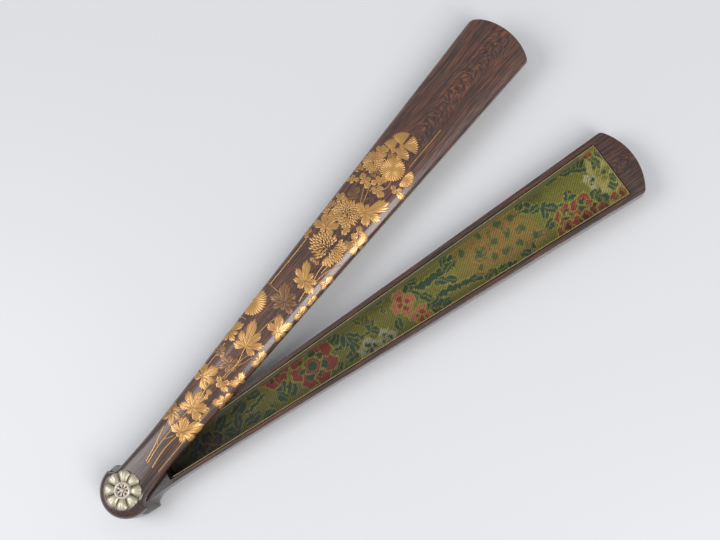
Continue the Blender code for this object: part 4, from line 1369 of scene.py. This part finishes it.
TRAY_HEIGHTS = [0.0, 0.12, 0.3, 0.6, 1.0, 1.5, 2.2, 3.0, 4.0, 5.0, 6.0, 7.0, 8.5, 10.0, 11.2, 11.7,
                11.82, 11.93, 12.0]
DOME_TURNS = [0, 4, 8, 12, 17, 22, 28, 34, 40, 46, 52, 58, 64, 70, 75, 80, 84, 87]


class FANCASE_OT_tray(StepOperator, bpy.types.Operator):
    """Wooden tray with its flared foot, hollow and rivet hole"""
    bl_idname = "fan_case.tray"
    bl_label = "Tray"

    def execute(self, context):
        tray = lofted("tray_wood", [tray_ring(z) for z in TRAY_HEIGHTS], False)
        outwards(tray)
        levels = [(TRAY_FLOOR, 0.0), (TRAY_TOP - 0.2, 0.0), (TRAY_TOP, 0.2), (TRAY_TOP + 1.0, 0.2)]
        hollow = block("hollow", hollow_rings(levels, 0.8), False)
        recess = drill("recess", BUSH_RECESS_RADIUS, TRAY_RECESS_FLOOR, 13.0, False)
        under = drill("under_recess", WASHER_RECESS_RADIUS, -1.0, WASHER_RECESS_TOP, False)
        bore = drill("bore", BORE_RADIUS, -1.4, 13.4, False)
        cut(tray, hollow, recess, under, bore)
        material = wood_material("figured_wood_tray", context.scene.fan_case_wood, False, 0.62)
        ride_as(tray, "tray", material, ("tray_shell",), 30.0)
        return {"FINISHED"}


def hollow_arch(x, steps, side_gap=0.0, drop_by=0.0):
    """Points across the lid's arched hollow at x, from +y to -y."""
    half = hollow_half_width(x) - side_gap
    share = np.cos(np.linspace(0.0, math.pi, steps + 1))
    lift = np.sqrt(np.maximum(1.0 - np.abs(share) ** DOME_POWER, 0.0))
    z = LID_BOTTOM + mix(LID_HOLLOW_SIDE, LID_HOLLOW_CROWN, lift) - drop_by
    return np.c_[np.full(steps + 1, x), share * half, z]


def arch_rings():
    """Outline of the lid's hollow at both of its ends."""
    rings = []
    for x in (HOLLOW_START, HOLLOW_END):
        half, low = hollow_half_width(x), LID_BOTTOM - 1.0
        rings.append(np.vstack([hollow_arch(x, 24), [(x, -half, low), (x, half, low)]]))
    return rings


class FANCASE_OT_lid(StepOperator, bpy.types.Operator):
    """Domed wooden lid with its shallow hollow and the flower's seat"""
    bl_idname = "fan_case.lid"
    bl_label = "Lid"

    def execute(self, context):
        low = both_sides(half_outline() * (0.9995, 0.985), LID_BOTTOM)
        edge = both_sides(half_outline(), LID_BOTTOM + 0.25)
        lid = lofted("lid_wood", [low, edge] + [dome_ring(turn) for turn in np.radians(DOME_TURNS)], True)
        outwards(lid)
        hollow = block("lid_hollow", arch_rings(), True)
        recess = drill("lid_recess", BUSH_RECESS_RADIUS, 11.0, LID_RECESS_TOP, True)
        seat = drill("lid_seat", SEAT_RADIUS, SEAT_HEIGHT, 19.0, True)
        bore = drill("lid_bore", BORE_RADIUS, 10.6, 19.4, True)
        cut(lid, hollow, recess, seat, bore)
        material = wood_material("figured_wood_lid", context.scene.fan_case_wood, True)
        ride_as(lid, "lid", material, ("lid_shell",), 30.0)
        return {"FINISHED"}


class FANCASE_OT_gold(StepOperator, bpy.types.Operator):
    """Raised gold leaves, flowers, stems and grass lines on the lid"""
    bl_idname = "fan_case.gold"
    bl_label = "Gold relief"

    def execute(self, context):
        gold = context.scene.fan_case_gold
        material = gold_material("sprinkled_gold", gold)
        rise = gold.height / MM
        leaves = [leaf(x, y, lobes, tone, rise * (1.0 - 0.25 * tone)) for x, y, lobes, tone in LEAVES]
        ride_as(relief_object("gold_leaves", leaves), "lid", material, sharp=50.0)
        plates = [plate_flower(*plate, 1.3 * rise) for plate in PLATES]
        ride_as(relief_object("gold_side_flowers", plates), "lid", material, sharp=50.0)
        spiral = petal_fan_nodes()
        petal = new_object("petal", petal_mesh())
        blooms = []
        for x, y, count, radius, upper, lower, slit, small, large, lift in BLOOMS:
            holder = new_object("bloom", new_mesh("bloom", [(0.0, 0.0, 0.0)], []))
            flower = spiral.use(holder, Petal=petal, Count=count, Radius=radius, Upper_stretch=upper,
                                Lower_stretch=lower, Slit=slit, Inner_size=small, Outer_size=large,
                                Heart_lift=lift, Seed=7, Material=material)
            points, faces = taken_apart(flower)
            tones = np.tile(PETAL_TONES, len(points) // len(PETAL_TONES))
            blooms.append((points + (x, y, 0.0), faces, tones))
        drop(petal)
        ride_as(relief_object("gold_chrysanthemums", blooms), "lid", material, sharp=50.0)
        raised = raised_line_nodes()
        stems = []
        for half, points in LINES:
            path = path_curve("stem", [(*point, 0.02) for point in points])
            line = raised.use(path, Half_width=half, Step=0.5, Sides=10, Material=material)
            points, faces = taken_apart(line)
            stems.append((points, faces, np.full(len(points), 0.3)))
        ride_as(relief_object("gold_stems", stems), "lid", material)
        return {"FINISHED"}


def cloth_place(x, c):
    """Place on the tray's lining at length x and distance c across the flat cloth."""
    side, far = np.sign(c), np.abs(c)
    floor_end = hollow_half_width(np.minimum(x, LINING_END)) - CLOTH_INSET - CLOTH_BEND
    arc = 0.5 * math.pi * CLOTH_BEND
    turn = np.clip((far - floor_end) / CLOTH_BEND, 0.0, 0.5 * math.pi)
    y = np.where(far < floor_end, far, floor_end + CLOTH_BEND * np.sin(turn))
    z = np.where(far < floor_end, CLOTH_TOP, CLOTH_TOP + CLOTH_BEND - CLOTH_BEND * np.cos(turn))
    z = np.minimum(z + np.maximum(far - floor_end - arc, 0.0), LINING_TOP)
    z = np.maximum(z, CLOTH_TOP + RAMP_SLOPE * (x - RAMP_START))
    return np.stack([x, side * y, z], axis=-1)


def store_weave(mesh, flat, colors):
    """Keep a cloth's flat coordinates, in metres, and its woven colours with their painted shade."""
    store(mesh, "cloth", "FLOAT_VECTOR", np.c_[flat * MM, np.zeros(len(flat))])
    store(mesh, "woven", "FLOAT_COLOR", np.c_[np.clip(colors, 0.0, 1.0), np.ones(len(colors))])


class FANCASE_OT_tray_lining(StepOperator, bpy.types.Operator):
    """Green brocade on the tray's floor, sides and end ramp, woven with flowers and ribs"""
    bl_idname = "fan_case.tray_lining"
    bl_label = "Tray lining"

    def execute(self, context):
        cloth = context.scene.fan_case_cloth
        cell = cloth.cell / MM
        wall = LINING_TOP - CLOTH_TOP
        rows = int((LINING_END - CLOTH_START) / cell)
        floor_cols, wall_cols, strip = 84, 7, 16
        xs = np.linspace(CLOTH_START, LINING_END, rows + 1)
        floor_share = np.linspace(-1.0, 1.0, floor_cols + 1)
        wall_share = np.linspace(0.0, 1.0, wall_cols + 1)[1:]
        points, flats = [], []
        for x in xs:
            half = float(hollow_half_width(x)) - CLOTH_INSET
            up = wall_share * (wall - EDGE_ROOM)
            c = np.r_[-half - up[::-1], floor_share * half, half + up]
            points.append(cloth_place(np.full(len(c), x), c))
            flats.append(np.c_[np.full(len(c), x), c])
        cols = len(points[0])
        top, flat = np.vstack(points), np.vstack(flats)
        faces = []
        for row in range(rows):
            for col in range(cols - 1):
                a = row * cols + col
                faces.append((a, a + cols, a + cols + 1, a + 1))
        # Underside: a coarse skin just below, joined along the cloth's edges
        fold = [0, wall_cols, cols - 1 - wall_cols, cols - 1]
        foot = int(np.searchsorted(xs, RAMP_START))
        marks = list(range(0, foot - strip // 2, strip)) + [foot, rows]
        under, below = [], {}
        for row in marks:
            for k, col in enumerate(fold):
                x, y, z = top[row * cols + col]
                sign = -1.0 if k < 2 else 1.0
                below[row, k] = len(top) + len(under)
                lower = z if k in (0, 3) else max(z - CLOTH_THICKNESS, CLOTH_LOWEST)
                under.append((x, y + sign * CLOTH_THICKNESS * 0.8, lower))
        for low, high in zip(marks, marks[1:]):
            for k in range(3):
                faces.append((below[low, k], below[low, k + 1], below[high, k + 1], below[high, k]))
            left = [row * cols for row in range(low, high + 1)]
            right = [row * cols + cols - 1 for row in range(low, high + 1)]
            faces.append(tuple(left[::-1] + [below[low, 0], below[high, 0]]))
            faces.append(tuple(right + [below[high, 3], below[low, 3]]))
        for row, flip in ((0, False), (rows, True)):
            edge = [row * cols + col for col in range(cols)]
            face = edge + [below[row, k] for k in (3, 2, 1, 0)]
            faces.append(tuple(reversed(face)) if flip else tuple(face))
        all_points = np.vstack([top, np.array(under)])
        sheet = new_object("tray_brocade", new_mesh("tray_brocade", to_world(all_points, False), faces))
        colors = np.vstack([woven_colors_with_painted_shade(flat[:, 0], flat[:, 1]), np.tile(OLIVE, (len(under), 1))])
        store_weave(sheet.data, np.vstack([flat, np.zeros((len(under), 2))]), colors)
        store(sheet.data, "right_side", "FLOAT", np.r_[np.ones(len(top)), np.zeros(len(under))])
        material = brocade_material("green_brocade", cloth.lean, cloth.pitch)
        ribs = cloth_rib_nodes()
        ribs.use(sheet, Pitch=cloth.pitch, Height=cloth.height, Lean=cloth.lean, Material=material)
        nodes = ("tray_floor_lining", "tray_side_lining_left", "tray_side_lining_right", "tray_end_lining")
        ride_as(sheet, "tray", material, nodes)
        return {"FINISHED"}


class FANCASE_OT_lid_lining(StepOperator, bpy.types.Operator):
    """Thin brocade glued in the lid's shallow hollow"""
    bl_idname = "fan_case.lid_lining"
    bl_label = "Lid lining"

    def execute(self, context):
        cloth = context.scene.fan_case_cloth
        rows, cols, gap, thick = 250, 40, 0.3, 0.5
        xs = np.linspace(LINING_START, LINING_END, rows + 1)
        points = np.vstack([hollow_arch(x, cols, gap, lower) for lower in (gap, gap + thick) for x in xs])
        flat = points[:, :2]
        wide, size = cols + 1, (rows + 1) * (cols + 1)
        faces = []
        for row in range(rows):
            for col in range(cols):
                a = row * wide + col
                faces.append((a, a + 1, a + wide + 1, a + wide))
                faces.append((size + a, size + a + wide, size + a + wide + 1, size + a + 1))
            for col in (0, cols):
                a, b = row * wide + col, (row + 1) * wide + col
                faces.append((a, b, size + b, size + a))
        for row in (0, rows):
            for col in range(cols):
                a = row * wide + col
                faces.append((a, a + 1, size + a + 1, size + a))
        sheet = new_object("lid_brocade", new_mesh("lid_brocade", to_world(points, True), faces))
        store_weave(sheet.data, flat, woven_colors_with_painted_shade(flat[:, 0], flat[:, 1]))
        outwards(sheet)
        material = brocade_material("green_brocade_lid", cloth.lean, cloth.pitch)
        ride_as(sheet, "lid", material, ("lid_lining",))
        return {"FINISHED"}


class FANCASE_OT_edge_threads(StepOperator, bpy.types.Operator):
    """Twisted gilt threads along the lining's edges"""
    bl_idname = "fan_case.edge_threads"
    bl_label = "Edge threads"

    def execute(self, context):
        material = metal_material("gilt_thread", (0.48, 0.38, 0.18), (0.27, 0.20, 0.08), 0.45, 0.5, 3.0)
        twist = twisted_thread_nodes()
        beside_wall = 0.3 * MM
        for word in ("left", "right", "end"):
            node = "tray_edge_trim_" + word
            low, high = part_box(node)
            middle = 0.5 * (low + high)
            if word == "end":
                ends = [(middle.x, low.y, middle.z), (middle.x, high.y, middle.z)]
            else:
                near, far = (low.y, high.y) if word == "left" else (high.y, low.y)
                inward = beside_wall if word == "left" else -beside_wall
                ends = [(low.x, near + inward, middle.z), (high.x, far - inward, middle.z)]
            path = path_curve("gilt_edge_" + word, ends)
            thread = twist.use(path, Strand_radius=0.00016, Pitch=0.0013, Step=0.00022, Material=material)
            ride_as(thread, "tray", material, (node,))
        return {"FINISHED"}


def rosette_petal():
    """One silver petal: domed, notched at its tip, creased along its middle."""
    across, along = 17, 15
    half_turn = math.pi / 8.0
    points, tones = [], []
    for row in range(along):
        share = row / (along - 1)
        for col in range(across):
            side = 2.0 * col / (across - 1) - 1.0
            rim = PETAL_RIM - 1.15 * abs(side) ** 2.8 - 0.16 * math.exp(-(side / 0.15) ** 2)
            radius = mix(PETAL_INNER, rim, share)
            neck = mix(0.95, 1.0, math.sin(0.5 * math.pi * share))
            turn = side * half_turn * 0.985 * neck
            dome = (1.0 - abs(side) ** 3.0) * math.sin(math.pi * mix(0.12, 0.93, share)) ** 0.6
            crease = 0.22 * math.exp(-(side / 0.10) ** 2) * smooth(0.2, 0.6, share)
            z = PETAL_BASE + 1.05 * dome * (1.0 - 0.55 * crease)
            points.append((radius * math.cos(turn), radius * math.sin(turn), z))
            tones.append(float(np.clip(1.0 - 1.25 * dome, 0.0, 1.0)) * 0.9 + 0.3 * float(crease))
    size = along * across
    points += [(x, y, ROSETTE_BASE) for x, y, _ in points]
    tones += [1.0] * size
    faces = []
    for row in range(along - 1):
        for col in range(across - 1):
            a = row * across + col
            faces.append((a, a + across, a + across + 1, a + 1))
            faces.append((size + a, size + a + 1, size + a + across + 1, size + a + across))
    edge = [(row * across, (row + 1) * across) for row in range(along - 1)]
    edge += [((along - 1) * across + col, (along - 1) * across + col + 1) for col in range(across - 1)]
    edge += [((row + 1) * across + across - 1, row * across + across - 1) for row in range(along - 1)]
    edge += [(col + 1, col) for col in range(across - 1)]
    faces += [(a, b, size + b, size + a) for a, b in edge]
    mesh = new_mesh("rosette_petal", [tuple(c * MM for c in p) for p in points], faces)
    store(mesh, "tone", "FLOAT", tones)
    thing = new_object("rosette_petal", mesh)
    outwards(thing)
    return thing


def wheel_spoke():
    """One rounded spoke of the small wheel."""
    stations = ((1.15, 0.46, 0.75), (1.5, 0.42, 0.80), (2.0, 0.50, 0.80), (2.45, 0.68, 0.80),
                (2.8, 1.05, 0.75))
    section = ((-1.0, 0.0), (-1.0, 0.6), (-0.5, 0.92), (0.0, 1.0), (0.5, 0.92), (1.0, 0.6), (1.0, 0.0))
    rows = []
    for radius, half, high in stations:
        rows += [(radius, side * half, SPOKE_BASE + up * high) for side, up in section]
    points = [tuple(c * MM for c in row) for row in rows]
    faces = ring_faces(len(stations), len(section))
    faces += [tuple(range(len(section))), tuple(range(len(rows) - len(section), len(rows)))]
    thing = new_object("wheel_spoke", new_mesh("wheel_spoke", points, faces))
    outwards(thing)
    return thing


def turn_in_place(thing):
    """Move a mesh drawn about the rivet, in metres, to the lid's place."""
    thing.data.transform(Matrix.Translation((PIN_X, 0.0, 0.0)) @ Matrix.Rotation(LID_TURN, 4, "Z"))


def profile_band(inner, outer, low, high, steps=10):
    """Closed profile of a half-round band: flat below, domed above."""
    turns = np.linspace(0.0, math.pi, steps + 1)
    middle, half = 0.5 * (inner + outer), 0.5 * (outer - inner)
    rim = mix(low, high, 0.45)
    top = [(middle + half * math.cos(turn), rim + (high - rim) * math.sin(turn)) for turn in turns]
    return top + [(inner, low), (outer, low)]


class FANCASE_OT_rosette(StepOperator, bpy.types.Operator):
    """Silver flower on the hub: petals, collar, openwork wheel and the rivet's domed cap"""
    bl_idname = "fan_case.rosette"
    bl_label = "Rosette"

    def execute(self, context):
        settings = context.scene.fan_case_rosette
        bright = tuple(settings.silver)
        petal_silver = metal_material("patinated_silver", bright, toned(bright, 0.70), 0.36, 0.6, 1.2, 0.85)
        bright, dull = (0.78, 0.70, 0.62), (0.52, 0.43, 0.36)
        collar_silver = metal_material("collar_silver", bright, dull, 0.32, 0.45, 2.0)
        ring_of = ring_of_nodes()

        def round_the_rivet(name, shape, first_turn, material):
            ring = new_object(name, new_mesh(name, [(0.0, 0.0, 0.0)], []))
            first = math.radians(first_turn)
            ring_of.use(ring, Shape=shape, Count=settings.petals, First_angle=first, Material=material)
            turn_in_place(ring)
            drop(shape)
            return ring

        petals = round_the_rivet("silver_petals", rosette_petal(), -6.0, petal_silver)
        ride_as(petals, "lid", petal_silver, ("rosette_petals",), 50.0)
        ring = turned_body("silver_ring", profile_band(2.85, 4.2, ROSETTE_BASE, 19.6), True)
        ride_as(ring, "lid", collar_silver, ("rosette_ring",), 50.0)
        wheel = round_the_rivet("silver_wheel", wheel_spoke(), 16.5, collar_silver)
        hub = turned_body("wheel_hub", profile_band(1.0, 1.55, ROSETTE_BASE, 18.45, 6), True, 48)
        paint(hub, collar_silver)
        wheel = join("silver_wheel", [wheel, hub])
        ride_as(wheel, "lid", collar_silver, ("rosette_wheel",), 50.0)
        low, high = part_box("rosette_boss")
        base, top = low.z / MM, high.z / MM
        turns = np.linspace(0.0, 0.5 * math.pi, 12)
        cap = [(1.2 * math.sin(turn), base + (top - base) * math.cos(turn)) for turn in turns]
        boss = turned_body("silver_boss", cap + [(0.0, base)], False, 48)
        ride_as(boss, "tray", collar_silver, ("rosette_boss",), 50.0)
        return {"FINISHED"}


class FANCASE_OT_fittings(StepOperator, bpy.types.Operator):
    """Finishes of the rivet, bushes, washers and the ramp's card"""
    bl_idname = "fan_case.fittings"
    bl_label = "Fittings"

    def execute(self, context):
        steel = metal_material("rivet_steel", (0.60, 0.60, 0.61), (0.34, 0.33, 0.33), 0.3)
        brass = metal_material("bush_brass", (0.78, 0.60, 0.30), (0.45, 0.30, 0.12), 0.33)
        silver = metal_material("washer_silver", (0.66, 0.64, 0.54), (0.36, 0.31, 0.22), 0.34)
        card = metal_material("lining_card", (0.50, 0.43, 0.32), (0.36, 0.29, 0.20), 0.8, 0.0, 0.8)
        finishes = {"pivot_pin": steel, "tray_bush": brass, "lid_bush": brass, "hub_washer": brass,
                    "lower_washer": silver, "ramp_wedge": card}
        for name, material in finishes.items():
            node = frame["nodes"][name]
            node.material_slots[0].material = material
        return {"FINISHED"}


class FANCASE_PT_panel(bpy.types.Panel):
    """Lists the steps and settings of the fan case"""
    bl_idname = "FANCASE_PT_panel"
    bl_label = "Fan Case"
    bl_space_type = "VIEW_3D"
    bl_region_type = "UI"
    bl_category = "Fan Case"

    def draw(self, context):
        for label, group, names in PANEL_ROWS:
            box = self.layout.box()
            box.label(text=label)
            for name in names:
                box.prop(getattr(context.scene, group), name)
        for step in STEPS:
            self.layout.operator(step.bl_idname)


SETTINGS = {
    "fan_case_wood": FanCaseWood,
    "fan_case_gold": FanCaseGold,
    "fan_case_cloth": FanCaseCloth,
    "fan_case_rosette": FanCaseRosette,
    "fan_case_stage": FanCaseStage,
}
PANEL_ROWS = [
    ("Wood", "fan_case_wood", ("dark", "middle", "light", "gloss", "arches")),
    ("Gold", "fan_case_gold", ("color", "aged", "height")),
    ("Lining", "fan_case_cloth", ("cell", "pitch", "lean", "height")),
    ("Rosette", "fan_case_rosette", ("petals", "silver")),
    ("Stage", "fan_case_stage", ("floor_color", "lens")),
]
STEPS = (FANCASE_OT_stage, FANCASE_OT_tray, FANCASE_OT_lid, FANCASE_OT_gold, FANCASE_OT_tray_lining,
         FANCASE_OT_lid_lining, FANCASE_OT_edge_threads, FANCASE_OT_rosette, FANCASE_OT_fittings)
CLASSES = (*SETTINGS.values(), *STEPS, FANCASE_PT_panel)


def register():
    for cls in CLASSES:
        bpy.utils.register_class(cls)
    for name, cls in SETTINGS.items():
        setattr(bpy.types.Scene, name, PointerProperty(type=cls))


def unregister():
    for name in SETTINGS:
        delattr(bpy.types.Scene, name)
    for cls in reversed(CLASSES):
        bpy.utils.unregister_class(cls)


def main():
    register()
    for step in STEPS:
        group, name = step.bl_idname.split(".")
        getattr(getattr(bpy.ops, group), name)()


if __name__ == "__main__":
    main()
